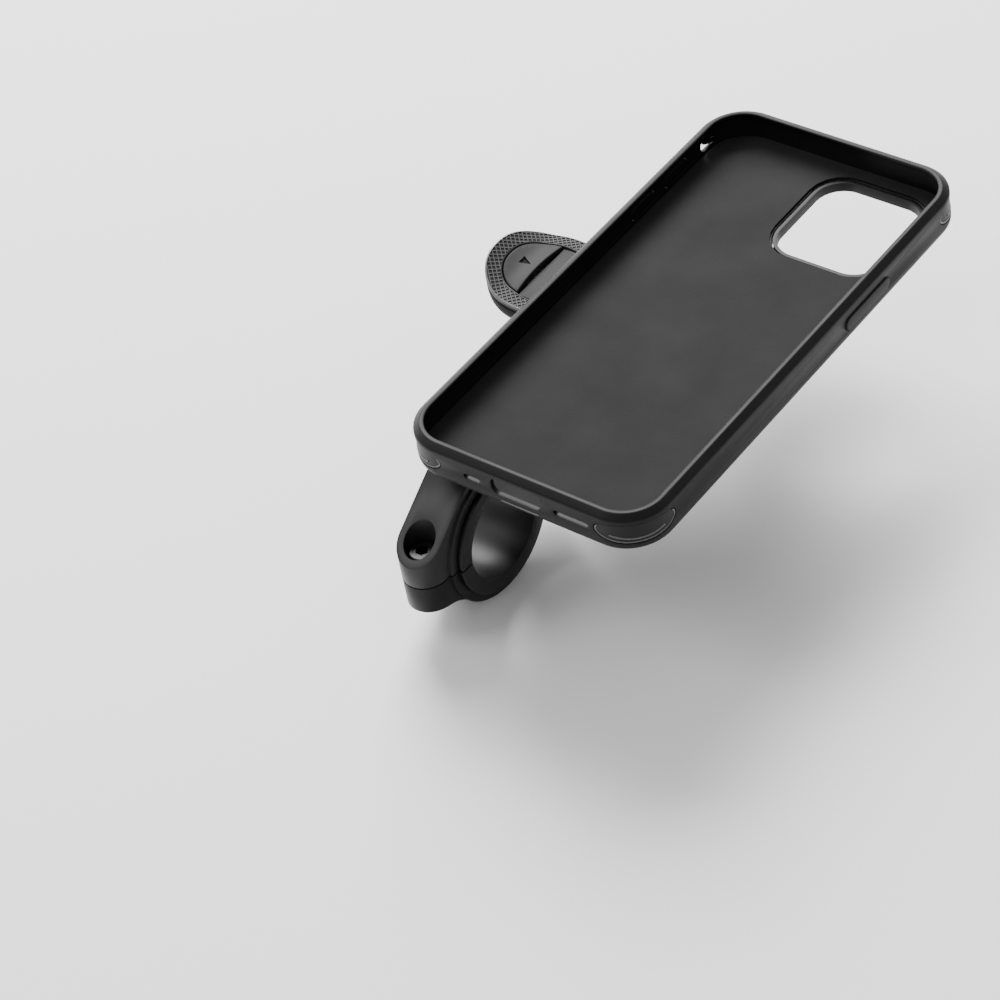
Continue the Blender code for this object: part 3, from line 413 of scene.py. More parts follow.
def turned(profile, centre, steps=64, name="cutter", along_x=False):
    """Spin a profile of (radius, height) into a solid; a profile off the axis makes a ring."""
    made = bmesh.new()
    rings = []
    for radius, height in profile:
        if radius == 0:
            rings.append([made.verts.new((0, 0, height))] * steps)
            continue
        rings.append([made.verts.new((radius * math.cos(2 * math.pi * i / steps),
                                      radius * math.sin(2 * math.pi * i / steps), height))
                      for i in range(steps)])
    pairs = list(zip(rings, rings[1:]))
    if all(radius > 0 for radius, _ in profile):
        pairs.append((rings[-1], rings[0]))
    for upper, lower in pairs:
        for i in range(steps):
            j = (i + 1) % steps
            corners = list(dict.fromkeys((upper[i], lower[i], lower[j], upper[j])))
            if len(corners) > 2:
                made.faces.new(corners)
    if along_x:
        bmesh.ops.rotate(made, verts=made.verts, matrix=Matrix.Rotation(math.radians(90), 3, 'Y'))
    bmesh.ops.translate(made, verts=made.verts, vec=centre)
    return new_object(name, made)


def boolean(item, other, operation):
    """Apply a Boolean with the other object, which is then removed."""
    change = item.modifiers.new("boolean", 'BOOLEAN')
    change.operation = operation
    change.object = other
    change.solver = 'EXACT'
    bake(item)
    bpy.data.objects.remove(other, do_unlink=True)
    return item


def cut(item, *others):
    for other in others:
        boolean(item, other, 'DIFFERENCE')
    return item


def join(item, *others):
    for other in others:
        boolean(item, other, 'UNION')
    return item


def bake(item):
    """Replace an object's mesh by what its modifiers make of it."""
    mesh = evaluated_mesh(item)
    item.modifiers.clear()
    old = item.data
    item.data = mesh
    bpy.data.meshes.remove(old)
    return item


def tidy(item, dissolve):
    """Weld and merge flat faces, so that bevels get clean edges."""
    made = bmesh.new()
    made.from_mesh(item.data)
    bmesh.ops.remove_doubles(made, verts=made.verts, dist=WELD)
    bmesh.ops.dissolve_limit(made, angle_limit=math.radians(dissolve), verts=made.verts, edges=made.edges)
    made.to_mesh(item.data)
    made.free()
    return item


def bevel(item, width, segments=3, angle=35):
    """Round the edges sharper than the angle."""
    change = item.modifiers.new("round", 'BEVEL')
    change.width = width * MM
    change.segments = segments
    change.limit_method = 'ANGLE'
    change.angle_limit = math.radians(angle)
    return item


def smooth(item, angle=40):
    """Shade smooth except across edges sharper than the angle."""
    bake(item)
    made = bmesh.new()
    made.from_mesh(item.data)
    bmesh.ops.remove_doubles(made, verts=made.verts, dist=WELD / 4)
    bmesh.ops.dissolve_degenerate(made, edges=made.edges, dist=WELD / 4)
    bmesh.ops.triangulate(made, faces=[f for f in made.faces if len(f.verts) > 4])
    made.to_mesh(item.data)
    made.free()
    item.data.shade_smooth()
    item.data.set_sharp_from_angle(angle=math.radians(angle))
    return item


def rounded_off(item, width, segments=3, dissolve=0.2, angle=35):
    """Clean an item's flat faces, round its sharp edges and shade it smooth."""
    tidy(item, dissolve)
    bevel(item, width, segments, angle)
    return smooth(item)


def level(outline, height):
    return [(x, y, height) for x, y in outline]


def stepped_hole(x, y, mouth, floor, end, bore_r, hole_r, steps=64):
    """A counterbored hole to cut with: wide from mouth to floor, narrow from there to end."""
    if end < mouth:
        profile = [(0, mouth), (bore_r, mouth), (bore_r, floor), (hole_r, floor), (hole_r, end), (0, end)]
    else:
        profile = [(0, end), (hole_r, end), (hole_r, floor), (bore_r, floor), (bore_r, mouth), (0, mouth)]
    return turned(profile, (x, y, 0), steps)


# ---------------------------------------------------------------- materials

MOTTLE = 60.0                   # scale of the slow drift in colour and roughness


def tree(name):
    made = bpy.data.materials.new(name)
    made.use_nodes = True
    nodes = made.node_tree.nodes
    shader = nodes["Principled BSDF"]
    return made, nodes, made.node_tree.links, shader


def grained(name, dark, light, roughness, metallic=0.0, grain=2500.0, bump=0.00002,
            rough_swing=0.08, specular=0.5):
    """Colour that drifts between two tones, varied roughness and a fine grain."""
    made, nodes, links, shader = tree(name)
    place = nodes.new("ShaderNodeTexCoord")
    clouds = nodes.new("ShaderNodeTexNoise")
    clouds.inputs["Scale"].default_value = MOTTLE
    clouds.inputs["Detail"].default_value = 5
    links.new(place.outputs["Object"], clouds.inputs["Vector"])
    ramp = nodes.new("ShaderNodeValToRGB")
    ramp.color_ramp.elements[0].position = 0.3
    ramp.color_ramp.elements[1].position = 0.7
    ramp.color_ramp.elements[0].color = (*dark, 1)
    ramp.color_ramp.elements[1].color = (*light, 1)
    links.new(clouds.outputs["Fac"], ramp.inputs["Fac"])
    links.new(ramp.outputs["Color"], shader.inputs["Base Color"])
    fine = nodes.new("ShaderNodeTexNoise")
    fine.inputs["Scale"].default_value = grain
    fine.inputs["Detail"].default_value = 3
    links.new(place.outputs["Object"], fine.inputs["Vector"])
    spread = nodes.new("ShaderNodeMapRange")
    spread.inputs["To Min"].default_value = roughness - rough_swing
    spread.inputs["To Max"].default_value = roughness + rough_swing
    links.new(clouds.outputs["Fac"], spread.inputs["Value"])
    links.new(spread.outputs["Result"], shader.inputs["Roughness"])
    relief = nodes.new("ShaderNodeBump")
    relief.inputs["Strength"].default_value = 1.0
    relief.inputs["Distance"].default_value = bump
    links.new(fine.outputs["Fac"], relief.inputs["Height"])
    links.new(relief.outputs["Normal"], shader.inputs["Normal"])
    shader.inputs["Metallic"].default_value = metallic
    shader.inputs["Specular IOR Level"].default_value = specular
    return made


def grey(value):
    """A nearly neutral colour, a touch blue."""
    return (value, value, value * 1.02)


M = {
    "arm": grained("anodised_arm", grey(0.024), grey(0.030), 0.37, metallic=0.5, specular=0.15,
                   bump=0.00001),
    "cap": grained("anodised_cap", grey(0.016), grey(0.020), 0.38, metallic=0.5, specular=0.1,
                   bump=0.00001),
    "shim": grained("shim_plastic", grey(0.008), grey(0.011), 0.42, specular=0.2, bump=0.000015),
    "screw": grained("black_oxide", grey(0.014), grey(0.020), 0.34, metallic=0.8, bump=0.000005),
    "steel": grained("spring_steel", grey(0.38), grey(0.45), 0.32, metallic=1.0, bump=0.000005),
    "stud": grained("machined_stud", grey(0.32), grey(0.38), 0.3, metallic=1.0, bump=0.000005),
    "head": grained("head_plastic", grey(0.004), grey(0.006), 0.55, specular=0.1, bump=0.00002),
    "cover": grained("cover_plastic", grey(0.024), grey(0.029), 0.42, specular=0.1, bump=0.000003),
    # The polished rim's lighter grey is a painted highlight.
    "rim": grained("polished_rim_painted_highlight", grey(0.105), grey(0.120), 0.28, specular=0.5, bump=0.000002),
    # Ridge tops: a lighter grey that is a painted highlight.
    "ridge": grained("hatch_ridge_painted_highlight", grey(0.080), grey(0.095), 0.55, specular=0.12, bump=0.000002),
    "button": grained("button_plastic", grey(0.027), grey(0.032), 0.5, specular=0.08, bump=0.00001),
    "arrow": grained("arrow_recess", grey(0.003), grey(0.004), 0.7, specular=0.1, bump=0.00001),
    "rubber": grained("rubber", grey(0.015), grey(0.020), 0.7, bump=0.00003),
    "case": grained("case_plastic", grey(0.004), grey(0.006), 0.5, specular=0.15, bump=0.00001),
    "case_back": grained("case_back_plastic", grey(0.005), grey(0.007), 0.5, specular=0.2, bump=0.00002),
    "pad": grained("pad_rubber", grey(0.005), grey(0.007), 0.44, specular=0.16, bump=0.00001),
    # Pad rims, ribs and the port's lip: a lighter grey that is a painted highlight.
    "pad_rim_painted_highlight": grained("pad_rim_painted_highlight", grey(0.065), grey(0.080), 0.28, bump=0.000005),
    "lining": grained("microfibre", grey(0.014), grey(0.022), 0.9, specular=0.2, bump=0.00006,
                      grain=1800.0, rough_swing=0.04),
}


def finish_piece(item, material, body, slot, *nodes, others=()):
    """Give a piece its looks, its body and the CAD nodes it replaces.

    The others are the materials of faces painted 1, 2 and so on. The slot is not used.
    """
    painted = [face.material_index for face in item.data.polygons]
    item.data.materials.clear()
    for each in (material, *others):
        item.data.materials.append(each)
    if others:
        item.data.polygons.foreach_set("material_index", painted)
    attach(item, body)
    if nodes:
        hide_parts(*nodes)
    return item


# ---------------------------------------------------------------- clamp

def collar():
    return cylinder(COLLAR_R, (-COLLAR_HALF, 0, 0), (COLLAR_HALF, 0, 0), 128)


def bore():
    return cylinder(BORE_R, (-FAR, 0, 0), (FAR, 0, 0), 128)


def half_space(height, above):
    """A box to cut with, on one side of a level."""
    low, high = (height, FAR) if above else (-FAR, height)
    return box((-FAR, -FAR, low), (FAR, FAR, high))


def clamp_upper():
    arm = prism([arm_outline()], 0.0, ARM_TOP + 5, "clamp_arm_fine")
    boolean(arm, prism([arm_side()], -FAR, FAR, turn=ALONG_X), 'INTERSECT')
    join(arm, collar())
    cut(arm, half_space(SPLIT, above=False), bore())
    cut(arm, stepped_hole(0, -BOSS_Y, FAR, REAR_FLOOR, -FAR, M4_BORE_R, M4_CLEAR_R))
    cut(arm, cylinder(M4_THREAD_R, (0, BOSS_Y, -FAR), (0, BOSS_Y, THREAD_DEPTH), 48))
    for x, y in PAD_SCREWS:
        cut(arm, stepped_hole(x, y, ARM_LOW - 1, ARM_LOW + PAD_HEAD_DEPTH, ARM_TOP + 1,
                              M3_BORE_R, M3_CLEAR_R, 40))
    return rounded_off(arm, CLAMP_EDGE, dissolve=0.5)


def ear_fillet(side):
    """Side outline of the hollow rounding between an ear's underside and the collar."""
    low = EAR_LOW - EAR_FILLET
    across = math.sqrt((COLLAR_R + EAR_FILLET) ** 2 - low ** 2)
    end = math.degrees(math.atan2(-low, across))
    curve = arc(-across, low, EAR_FILLET, 90, end, 16)
    outline = curve + [(-across * 0.55, low * 0.5), (-across * 0.6, EAR_LOW + 3), (-across, EAR_LOW + 3)]
    return [(-side * y, z) for y, z in outline]


def clamp_lower():
    ends = arc(0, BOSS_Y, BOSS_R, 0, 180, 48) + arc(0, -BOSS_Y, BOSS_R, 180, 360, 48)
    cap = prism([ends], EAR_LOW, 0.0, "clamp_cap_fine")
    join(cap, collar())
    for side in (-1, 1):
        fillet = prism([ear_fillet(side)], -FAR, FAR, turn=ALONG_X)
        boolean(fillet, prism([ends], -FAR, -1.0), 'INTERSECT')
        join(cap, fillet)
    cut(cap, half_space(-SPLIT, above=True), bore())
    cut(cap, cylinder(M4_THREAD_R, (0, -BOSS_Y, -FAR), (0, -BOSS_Y, FAR), 48))
    cut(cap, stepped_hole(0, BOSS_Y, EAR_LOW - 1, FRONT_FLOOR, FAR, M4_BORE_R, M4_CLEAR_R))
    return rounded_off(cap, CLAMP_EDGE, dissolve=0.5)


def shim(upper):
    """Half of the flanged ring that packs the clamp's bore down to the bar."""
    body = COLLAR_HALF + GAP
    profile = [(BAR_R, FLANGE_OUT), (FLANGE_R, FLANGE_OUT), (FLANGE_R, body), (SHIM_R, body),
               (SHIM_R, -body), (FLANGE_R, -body), (FLANGE_R, -FLANGE_OUT), (BAR_R, -FLANGE_OUT)]
    name = "shim_upper_fine" if upper else "shim_lower_fine"
    half = turned(profile, (0, 0, 0), 128, name, along_x=True)
    cut(half, half_space(SPLIT if upper else -SPLIT, above=not upper))
    return rounded_off(half, SHIM_EDGE, dissolve=0.5)


finish_piece(clamp_upper(), M["arm"], "mount", "anodised_arm", "clamp_arm")
finish_piece(clamp_lower(), M["cap"], "lower_clamp", "anodised_cap", "clamp_cap")
finish_piece(shim(True), M["shim"], "mount", "shim", "shim_upper")
finish_piece(shim(False), M["shim"], "lower_clamp", "shim", "shim_lower")


# ---------------------------------------------------------------- the tongue's rise and hatching

def curve_height(x, profile):
    """Height of a smooth curve through (x, height) points of falling x, level before the first."""
    for i, ((x0, z0), (x1, z1)) in enumerate(zip(profile, profile[1:])):
        if x >= x1:
            width = x0 - x1
            share = min(max((x0 - x) / width, 0.0), 1.0)
            before = profile[i - 1] if i else (x0 + 1.0, z0)
            after = profile[i + 2] if i + 2 < len(profile) else (x1 - 1.0, z1 + (z1 - z0) / width)
            slope0 = (z1 - before[1]) / (before[0] - x1) * width
            slope1 = (after[1] - z0) / (x0 - after[0]) * width
            s2, s3 = share * share, share ** 3
            return ((2 * s3 - 3 * s2 + 1) * z0 + (s3 - 2 * s2 + share) * slope0
                    + (3 * s2 - 2 * s3) * z1 + (s3 - s2) * slope1)
    return profile[-1][1]


def rise(x, y, profile):
    """Height gained by the tongue: the profile's curve less the crown, never below nothing.

    From RISE_START on, the step from no rise to some is eased over RISE_RUN.
    """
    height = curve_height(x, profile) - CROWN * (y - HEAD_Y) ** 2
    eased = (height + math.hypot(height, CROWN_EASE)) / 2
    share = min(max((RISE_START - x) / RISE_RUN, 0.0), 1.0)
    return max(height, 0.0) * (1 - share) + eased * share


def raise_tongue(item, profile):
    """Cut a piece into a fine grid where the tongue rises, and raise it there."""
    made = bmesh.new()
    made.from_mesh(item.data)
    start = profile[0][0]
    count = int((start - COVER_LOW.x) / RISE_STEP) + 1
    cuts = [((start - i * RISE_STEP, 0, 0), (1, 0, 0)) for i in range(count)]
    cuts += [((0, HEAD_Y + i * RISE_STEP_ACROSS, 0), (0, 1, 0)) for i in range(-10, 11)]

    def rising():
        return [f for f in made.faces if min(v.co.x for v in f.verts) < start * MM - WELD]

    for point, normal in cuts:
        faces = rising()
        edges = list({e for f in faces for e in f.edges})
        verts = list({v for f in faces for v in f.verts})
        bmesh.ops.bisect_plane(made, geom=verts + edges + faces, dist=WELD,
                               plane_co=[value * MM for value in point], plane_no=normal)
    bmesh.ops.triangulate(made, faces=rising())
    for vert in made.verts:
        vert.co.z += rise(vert.co.x / MM, vert.co.y / MM, profile) * MM
    made.to_mesh(item.data)
    made.free()
    return item


def paint_faces(item, chosen=lambda place: True):
    """Give the second material to the faces whose middle, in millimetres, is chosen."""
    for face in item.data.polygons:
        if chosen(face.center / MM):
            face.material_index = 1


def merged(name, *items):
    """One object out of several closed ones, each keeping its own faces."""
    made = bmesh.new()
    for item in items:
        made.from_mesh(item.data)
        bpy.data.objects.remove(item, do_unlink=True)
    mesh = bpy.data.meshes.new(name)
    made.to_mesh(mesh)
    made.free()
    return linked(name, mesh)


def inside(point, outline):
    """Whether a point lies in an outline, by the crossings to its right."""
    x, y = point
    hit = False
    for (x0, y0), (x1, y1) in zip(outline, outline[1:] + outline[:1]):
        if (y0 > y) != (y1 > y) and x < (x1 - x0) * (y - y0) / (y1 - y0) + x0:
            hit = not hit
    return hit


def hatch_runs(row, side, outline):
    """The stretches of one ridge line that lie in the outline, each a list of points."""
    runs, run = [], []
    for step in range(-HATCH_STEPS, HATCH_STEPS + 1):
        along, across = step * HATCH_STEP, row * HATCH_PITCH
        x = HATCH_X + (along + across) * DIAGONAL
        y = HEAD_Y + side * (along - across) * DIAGONAL
        if inside((x, y), outline):
            run.append((x, y))
        elif run:
            runs.append(run)
            run = []
    return [run[:-1:HATCH_KEEP] + run[-1:] for run in runs if len(run) >= HATCH_KEEP]


def ridge_ring(made, x, y, side):
    """A ridge's section at one place, raised with the tongue."""
    ring = []
    for offset, height in RIDGE:
        px, py = x + offset * DIAGONAL, y - side * offset * DIAGONAL
        ring.append(made.verts.new((px, py, height + rise(px, py, TIP_RISE))))
    return ring


def crosshatch():
    """Fine ridges crossing at 45 degrees, standing on the field up to the cover's top, with lighter tops
    as a painted highlight.
    """
    outline = field_outline()
    made = bmesh.new()
    for side in (-1, 1):
        for row in range(-HATCH_ROWS, HATCH_ROWS + 1):
            for run in hatch_runs(row, side, outline):
                rings = [ridge_ring(made, x, y, side) for x, y in run]
                for before, after in zip(rings, rings[1:]):
                    for i in range(len(RIDGE)):
                        face = made.faces.new((before[i], after[i], after[i - 1], before[i - 1]))
                        # The ridge tops get the lighter material, a painted highlight.
                        face.material_index = RIDGE_TOP_HIGHLIGHT if i == 2 else 0
                made.faces.new(rings[0])
                made.faces.new(rings[-1][::-1])
    return new_object("crosshatch", made)


# ---------------------------------------------------------------- head

def head_base():
    sections = []
    for i in range(11):
        angle = math.radians(9 * i)
        sections.append((HEAD_ROUNDING * (1 - math.sin(angle)),
                         HEAD_BOTTOM + HEAD_ROUNDING * (1 - math.cos(angle))))
    sections += [(0.0, BASE_TOP - 0.25), (0.1, BASE_TOP - 0.08), (0.3, BASE_TOP)]
    base = loft([level(head_outline(inset), height) for inset, height in sections], "head_base_fine")
    cut(base, prism([head_outline(HEAD_WALL)], BASE_FLOOR, BASE_TOP + 2))
    below, above = HEAD_BOTTOM - 1, BASE_FLOOR + 1
    cut(base, stepped_hole(HEAD_X, HEAD_Y, below, HEAD_BOTTOM + STUD_SCREW_DEPTH, above,
                           M3_BORE_R, M3_CLEAR_R, 40))
    for x, y in PAD_SCREWS:
        cut(base, cylinder(M3_THREAD_R, (x, y, below), (x, y, above), 32))
    for x, y in COVER_SCREWS:
        cut(base, stepped_hole(x, y, below, HEAD_BOTTOM + COVER_HEAD_DEPTH, above,
                               COVER_BORE_R, COVER_CLEAR_R, 32))
    raise_tongue(base, UNDER_RISE)
    return smooth(base)


def head_cover():
    holes = [pocket_outline(0.0), circle(HEAD_X, HEAD_Y, STUD_R + GAP, 96),
             circle(HEAD_X - LOCK_R, HEAD_Y, LOCK_HOLE_R, 40)]
    edge = [(0.12, COVER_UNDER), (0.0, COVER_UNDER + 0.12), (0.0, RIM_LOW), (0.05, 27.66),
            (0.16, 27.82), (0.32, 27.95), (0.5, HEAD_TOP)]
    cover = loft([level(head_outline(inset), height) for inset, height in edge], "head_cover_fine")
    for hole in holes:
        cut(cover, prism([hole], COVER_UNDER - 1, HEAD_TOP + 1))
    inner, outer, floor_z = STUD_GROOVE
    groove = [(outer, HEAD_TOP + 1), (outer, floor_z), (inner, floor_z), (inner, HEAD_TOP + 1)]
    cut(cover, turned(groove, (HEAD_X, HEAD_Y, 0), 96))
    tidy(cover, 0.2)
    bevel(cover, 0.16, 2, 60)
    bake(cover)
    cut(cover, prism([field_outline()], HEAD_TOP - FIELD_DEPTH, HEAD_TOP + 1))
    # The rim band gets the lighter rim material, a painted highlight.
    rim = head_outline(RIM)
    paint_faces(cover, lambda place: RIM_LOW + 0.02 < place.z < HEAD_TOP + 0.01
                and not inside(place[:2], rim))
    raise_tongue(cover, TIP_RISE)
    smooth(cover, 38)
    return merged("head_cover_fine", cover, crosshatch())


def head_bridge():
    bridge = prism([pocket_outline(GAP, BRIDGE_LEFT)], BRIDGE_UNDER, HEAD_TOP, "head_bridge_fine")
    rounded_off(bridge, 0.2)
    legs = []
    for x in BRIDGE_LEGS_X:
        for side in (-1, 1):
            y = HEAD_Y + side * BRIDGE_LEGS_Y
            legs.append(cylinder(BRIDGE_LEG_R, (x, y, BASE_FLOOR + GAP), (x, y, BRIDGE_LEG_TOP), 24))
    return merged("head_bridge_fine", bridge, *legs)


def release_button():
    button = prism([button_outline()], BUTTON_UNDER, HEAD_TOP, "release_button_fine")
    tidy(button, 0.2)
    bevel(button, 0.22, 3)
    bake(button)
    arrow = [(x, HEAD_Y + y) for x, y in ARROW]
    cut(button, prism([arrow], HEAD_TOP - ARROW_DEPTH, HEAD_TOP + 1))
    paint_faces(button, lambda place: inside(place[:2], arrow) and place.z < HEAD_TOP - ARROW_DEPTH / 2)
    raise_tongue(button, TIP_RISE)
    return smooth(button, 38)


finish_piece(head_base(), M["head"], "mount", "head_plastic", "head_base")
finish_piece(head_cover(), M["cover"], "mount", "cover_plastic", "head_cover",
             others=(M["rim"], M["ridge"]))
finish_piece(head_bridge(), M["button"], "mount", "button_plastic", "head_bridge")
finish_piece(release_button(), M["button"], "lever", "button_plastic", "release_button",
             others=(M["arrow"],))


# ---------------------------------------------------------------- phone case

def frame_profile():
    """The case wall's section as (inset, height): outside down, under the floor, inside up, lip."""
    rounding = []
    for i in range(11):
        angle = math.radians(9 * i)
        rounding.append((EDGE_R * (1 - math.cos(angle)), CASE_LOW + EDGE_R * (1 - math.sin(angle))))
    outer = [(BEVEL_IN + 0.2, CASE_TOP), (BEVEL_IN + 0.04, CASE_TOP - 0.04),
             (BEVEL_IN - 0.1, CASE_TOP - 0.15), (0.28, BEVEL_LOW + 0.15), (0.1, BEVEL_LOW - 0.05),
             (0.02, BEVEL_LOW - 0.3), (0.0, BEVEL_LOW - 0.7)]
    inner = [(LEDGE, CASE_LOW), (LEDGE, FLOOR_TOP), (CASE_WALL, FLOOR_TOP)]
    shoulder = [(CASE_WALL + step, height) for step, height in SHOULDER]
    lip = [(LIP_IN - 0.15, LIP_LOW), (LIP_IN - 0.02, LIP_LOW + 0.12), (LIP_IN, LIP_LOW + 0.35),
           (LIP_IN - 0.05, CASE_TOP - 0.12), (LIP_IN - 0.2, CASE_TOP)]
    return outer + rounding + inner + shoulder + lip


def on_case(reach, inset, height, corner):
    """A point on the case's wall, reach round from the middle of a corner."""
    side_x, side_y = corner
    half_arc = CASE_CORNER * math.pi / 4
    radius = CASE_CORNER - inset
    if abs(reach) <= half_arc:
        angle = math.pi / 4 + reach / CASE_CORNER
        x, y = radius * math.cos(angle), radius * math.sin(angle)
    elif reach > 0:
        x, y = -(reach - half_arc), radius
    else:
        x, y = radius, reach + half_arc
    return (CASE_X + side_x * (HALF_X - CASE_CORNER + x),
            CASE_Y + side_y * (HALF_Y - CASE_CORNER + y), height)


def pad_edges(reach, margin):
    """Lower and upper height of a pad's lens shape, at a reach from its middle."""
    full = PAD_REACH + margin
    share = min(abs(reach) / full, 1.0)
    low_reach, high_reach = [math.sqrt(max(1 - share ** power, 0.0)) for power in PAD_POWERS]
    low = PAD_ENDS - (PAD_ENDS - PAD_LOW + margin) * low_reach
    high = PAD_ENDS + (PAD_HIGH - PAD_ENDS + margin) * high_reach
    return low, max(high, low + PAD_END_HEIGHT)


def corner_solid(corner, margin, outer, inner, name="cutter"):
    """A pad's lens shape wrapped round a corner, between two insets."""
    columns = 48
    full = PAD_REACH + margin
    sections = []
    for i in range(columns + 1):
        reach = -full * math.cos(math.pi * i / columns)
        low, high = pad_edges(reach, margin)
        edge = [(outer, low), (outer, high), (inner, high), (inner, low)]
        sections.append([on_case(reach, inset, height, corner) for inset, height in edge])
    return loft(sections, name)


def bead(path, radius, name):
    """A round bead along points given in millimetres, painted with the second material, a lighter grey
    that is a painted highlight.
    """
    curve = bpy.data.curves.new(name, 'CURVE')
    curve.dimensions = '3D'
    curve.bevel_depth = radius * MM
    curve.bevel_resolution = 3
    curve.use_fill_caps = True
    spline = curve.splines.new('POLY')
    spline.points.add(len(path) - 1)
    for point, place in zip(spline.points, path):
        point.co = (*(value * MM for value in place), 1.0)
    holder = linked(name, curve)
    mesh = evaluated_mesh(holder)
    bpy.data.objects.remove(holder, do_unlink=True)
    mesh.shade_smooth()
    item = linked(name, mesh)
    paint_faces(item)
    return item


def corner_pad(name, corner):
    """Soft lens-shaped pad with a raised rim along its lower edge and ends and a short curved rib, both
    coloured a lighter grey as a painted highlight.
    """
    pad = smooth(corner_solid(corner, 0.0, PAD_FACE, PAD_DEPTH - GAP, name + "_fine"))
    lower, upper = [], []
    for i in range(61):
        reach = -(PAD_REACH - PAD_RIM_R) * math.cos(math.pi * i / 60)
        low, high = pad_edges(reach, -PAD_RIM_R)
        lower.append(on_case(reach, PAD_RIM_IN, low, corner))
        upper.append(on_case(reach, PAD_RIM_IN, high, corner))
    rim = bead(upper[7:0:-1] + lower + upper[-2:-9:-1], PAD_RIM_R, "rim")
    rib_path = []
    for i in range(31):
        reach = -RIB_REACH + 2 * RIB_REACH * i / 30
        height = RIB_Z - RIB_SAG * (1 - (reach / RIB_REACH) ** 2)
        rib_path.append(on_case(reach, RIB_IN, height, corner))
    return merged(name + "_fine", pad, rim, bead(rib_path, RIB_R, "rib"))


def stadium(low, high, middle, half, steps=24):
    return arc(low + half, middle, half, 90, 270, steps) + arc(high - half, middle, half, -90, 90, steps)


def side_hole(low, high, middle, half, left):
    """A long round-ended hole through the case's left or right wall."""
    wall = -HALF_X if left else HALF_X
    start, end = CASE_X + (wall - WALL_CUT), CASE_X + (wall + WALL_CUT)
    return prism([stadium(low, high, middle, half)], start, end, turn=ALONG_X)


def end_hole(opening, radius):
    """A rounded opening through the case's end wall, at the charging port."""
    x0, x1, z0, z1 = opening
    outline = rounded_rectangle((x0 + x1) / 2, (z0 + z1) / 2, (x1 - x0) / 2, (z1 - z0) / 2, radius, 12)
    wall = CASE_Y - HALF_Y
    return prism([outline], wall - WALL_CUT, wall + WALL_CUT, turn=ALONG_Y)


def port_lip():
    """The moulded lip under the charging port, turned up at its ends, coloured a lighter grey as a painted
    highlight.
    """
    wall = CASE_Y - HALF_Y + PORT_LIP_OUT
    path = [(PORT_LIP_X + PORT_LIP_LONG * i / 12, wall, PORT_LIP_Z) for i in range(13)]
    for end in (0, -1):
        x, y, z = path[end]
        path[end] = (x, y, z + PORT_LIP_TURN)
    return bead(path, PORT_LIP_R, "port_lip")


def case_frame():
    loops = [level(case_outline(inset), height) for inset, height in frame_profile()]
    frame_piece = loft(loops, "case_frame_fine", closed=True)
    for corner in CORNERS.values():
        cut(frame_piece, corner_solid(corner, PAD_GAP, -1.0, PAD_DEPTH))
    cut(frame_piece, side_hole(*POWER_BUTTON, BUTTON_Z, BUTTON_HALF, False))
    for opening in (VOLUME_UP_BUTTON, VOLUME_DOWN_BUTTON, MUTE_SLOT):
        cut(frame_piece, side_hole(*opening, BUTTON_Z, BUTTON_HALF, True))
    cut(frame_piece, end_hole(PORT, PORT_CORNER))
    cut(frame_piece, end_hole(SLOT_LEFT, SLOT_CORNER), end_hole(SLOT_RIGHT, SLOT_CORNER))
    rounded_off(frame_piece, 0.16, segments=2, dissolve=0.05, angle=50)
    return merged("case_frame_fine", frame_piece, port_lip())


def side_button(name, opening, left):
    """A button cover that fills its hole but for a small gap, and stands a little proud."""
    low, high = opening
    outline = stadium(low + BUTTON_GAP, high - BUTTON_GAP, BUTTON_Z, BUTTON_HALF - BUTTON_GAP)
    inner, outer = HALF_X - CASE_WALL + 0.05, HALF_X + BUTTON_OUT
    start, end = (-outer, -inner) if left else (inner, outer)
    button = prism([outline], CASE_X + start, CASE_X + end, name + "_fine", ALONG_X)
    return rounded_off(button, BUTTON_EDGE, segments=4)


def camera_window(inset, steps=20):
    x, y, half_x, half_y, radius = CAMERA
    return rounded_rectangle(x, y, half_x - inset, half_y - inset, radius - inset, steps)


def case_back():
    holes = [circle(HEAD_X, HEAD_Y, SOCKET_R + GAP, 96), camera_window(0.0)]
    back = prism([case_outline(LEDGE + GAP)] + holes, CASE_LOW, FLOOR_TOP, "case_back_fine")
    return rounded_off(back, 0.15, segments=2)


def camera_ring():
    loops = [camera_window(GAP), camera_window(CAMERA_RING)]
    ring = prism(loops, CASE_LOW, LINING_LOW - GAP, "camera_ring_fine")
    return rounded_off(ring, 0.25)


finish_piece(case_frame(), M["case"], "case", "case_plastic", "case_frame", others=(M["pad_rim_painted_highlight"],))
finish_piece(case_back(), M["case_back"], "case", "case_back_plastic", "case_back")
finish_piece(camera_ring(), M["case_back"], "case", "case_back_plastic", "camera_ring")
for pad_name, pad_corner in CORNERS.items():
    finish_piece(corner_pad(pad_name, pad_corner), M["pad"], "case", "pad_rubber", pad_name,
                 others=(M["pad_rim_painted_highlight"],))
SIDE_BUTTONS = (
    ("power_button_cover", "power_button", POWER_BUTTON, False),
    ("volume_up_cover", "volume_up_button", VOLUME_UP_BUTTON, True),
    ("volume_down_cover", "volume_down_button", VOLUME_DOWN_BUTTON, True),
)
for button_name, body, opening, left in SIDE_BUTTONS:
    finish_piece(side_button(button_name, opening, left), M["case"], body, "case_plastic", button_name)


# ---------------------------------------------------------------- the CAD nodes that stay

STAYING = {
    "rear_screw": "screw", "front_screw": "screw", "rear_washer": "screw", "front_washer": "screw",
    "stud_screw": "screw", "release_lever": "steel", "lever_spring": "steel", "lever_pivot_pin": "steel",
    "coupling_stud": "stud", "coupling_socket": "stud", "socket_cover": "steel", "friction_ring": "rubber",
    "case_lining": "lining",
}
for number in range(1, 5):
    STAYING[f"arm_screw_{number}"] = "screw"
    STAYING[f"cover_screw_{number}"] = "screw"

for node, key in STAYING.items():
    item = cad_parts[node]
    item.data.materials.clear()
    item.data.materials.append(M[key])


# ---------------------------------------------------------------- studio

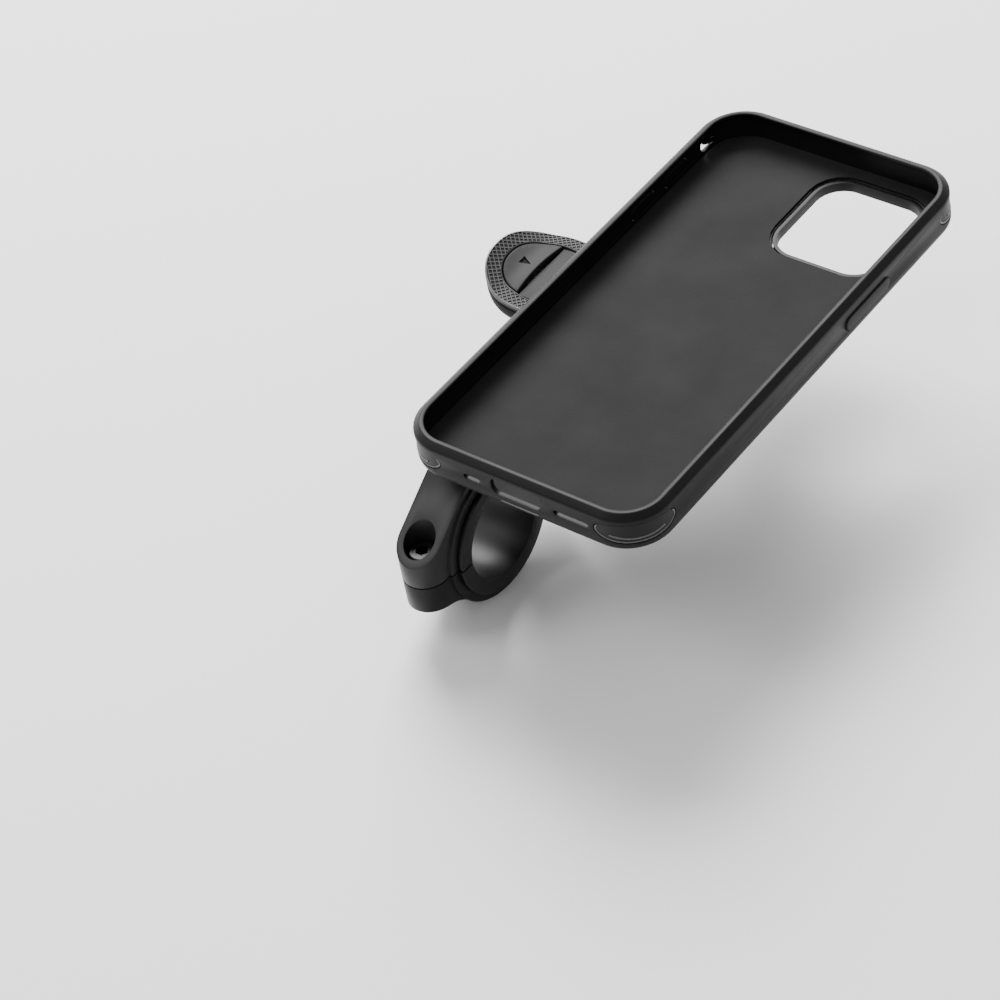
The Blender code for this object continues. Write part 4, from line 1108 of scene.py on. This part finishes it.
FLOOR_HALF = 3.0
WORLD_STRENGTH = 0.65
CENTRE = Vector((0.03, 0.05, 0.02))

floor_mesh = bmesh.new()
bmesh.ops.create_grid(floor_mesh, x_segments=2, y_segments=2, size=FLOOR_HALF)
floor_data = bpy.data.meshes.new("floor")
floor_mesh.to_mesh(floor_data)
floor_mesh.free()
floor = linked("floor", floor_data)
floor.location.z = cad_box[0].z
pale, _, _, pale_shader = tree("pale_floor")
pale_shader.inputs["Base Color"].default_value = (0.9, 0.9, 0.9, 1)
pale_shader.inputs["Roughness"].default_value = 0.9
floor.data.materials.append(pale)

world = bpy.data.worlds.new("studio")
bpy.context.scene.world = world
world.use_nodes = True
background = world.node_tree.nodes["Background"]
background.inputs["Color"].default_value = (1, 1, 1, 1)
background.inputs["Strength"].default_value = WORLD_STRENGTH


def area_light(name, place, size, power, height=None):
    """A rectangular light that faces the object."""
    data = bpy.data.lights.new(name, 'AREA')
    data.energy = power
    data.shape = 'RECTANGLE'
    data.size = size
    data.size_y = height or size
    light = linked(name, data)
    light.location = place
    light.rotation_euler = (CENTRE - Vector(place)).to_track_quat('-Z', 'Y').to_euler()


area_light("key", (-0.62, 0.75, 0.95), 0.8, 48)
area_light("left", (-0.65, -0.5, 0.95), 0.5, 5)
area_light("left_low", (-1.25, 0.35, 0.12), 1.0, 6, 0.22)


# ---------------------------------------------------------------- camera

CAMERA_PLACE = Vector((0.4395, -0.43921, 0.58255))
CAMERA_TARGET = Vector((0.0236, -0.0148, 0.0300))
CAMERA_ROLL = -11.3             # degrees
CAMERA_LENS, CAMERA_SENSOR = 122.0, 36.0

camera_data = bpy.data.cameras.new("camera")
camera_data.lens = CAMERA_LENS
camera_data.sensor_width = CAMERA_SENSOR
camera_data.clip_start = 0.01
camera = linked("camera", camera_data)
camera.location = CAMERA_PLACE
aim = (CAMERA_TARGET - CAMERA_PLACE).to_track_quat('-Z', 'Y').to_matrix()
camera.rotation_euler = (aim @ Matrix.Rotation(math.radians(CAMERA_ROLL), 3, 'Z')).to_euler()
bpy.context.scene.camera = camera
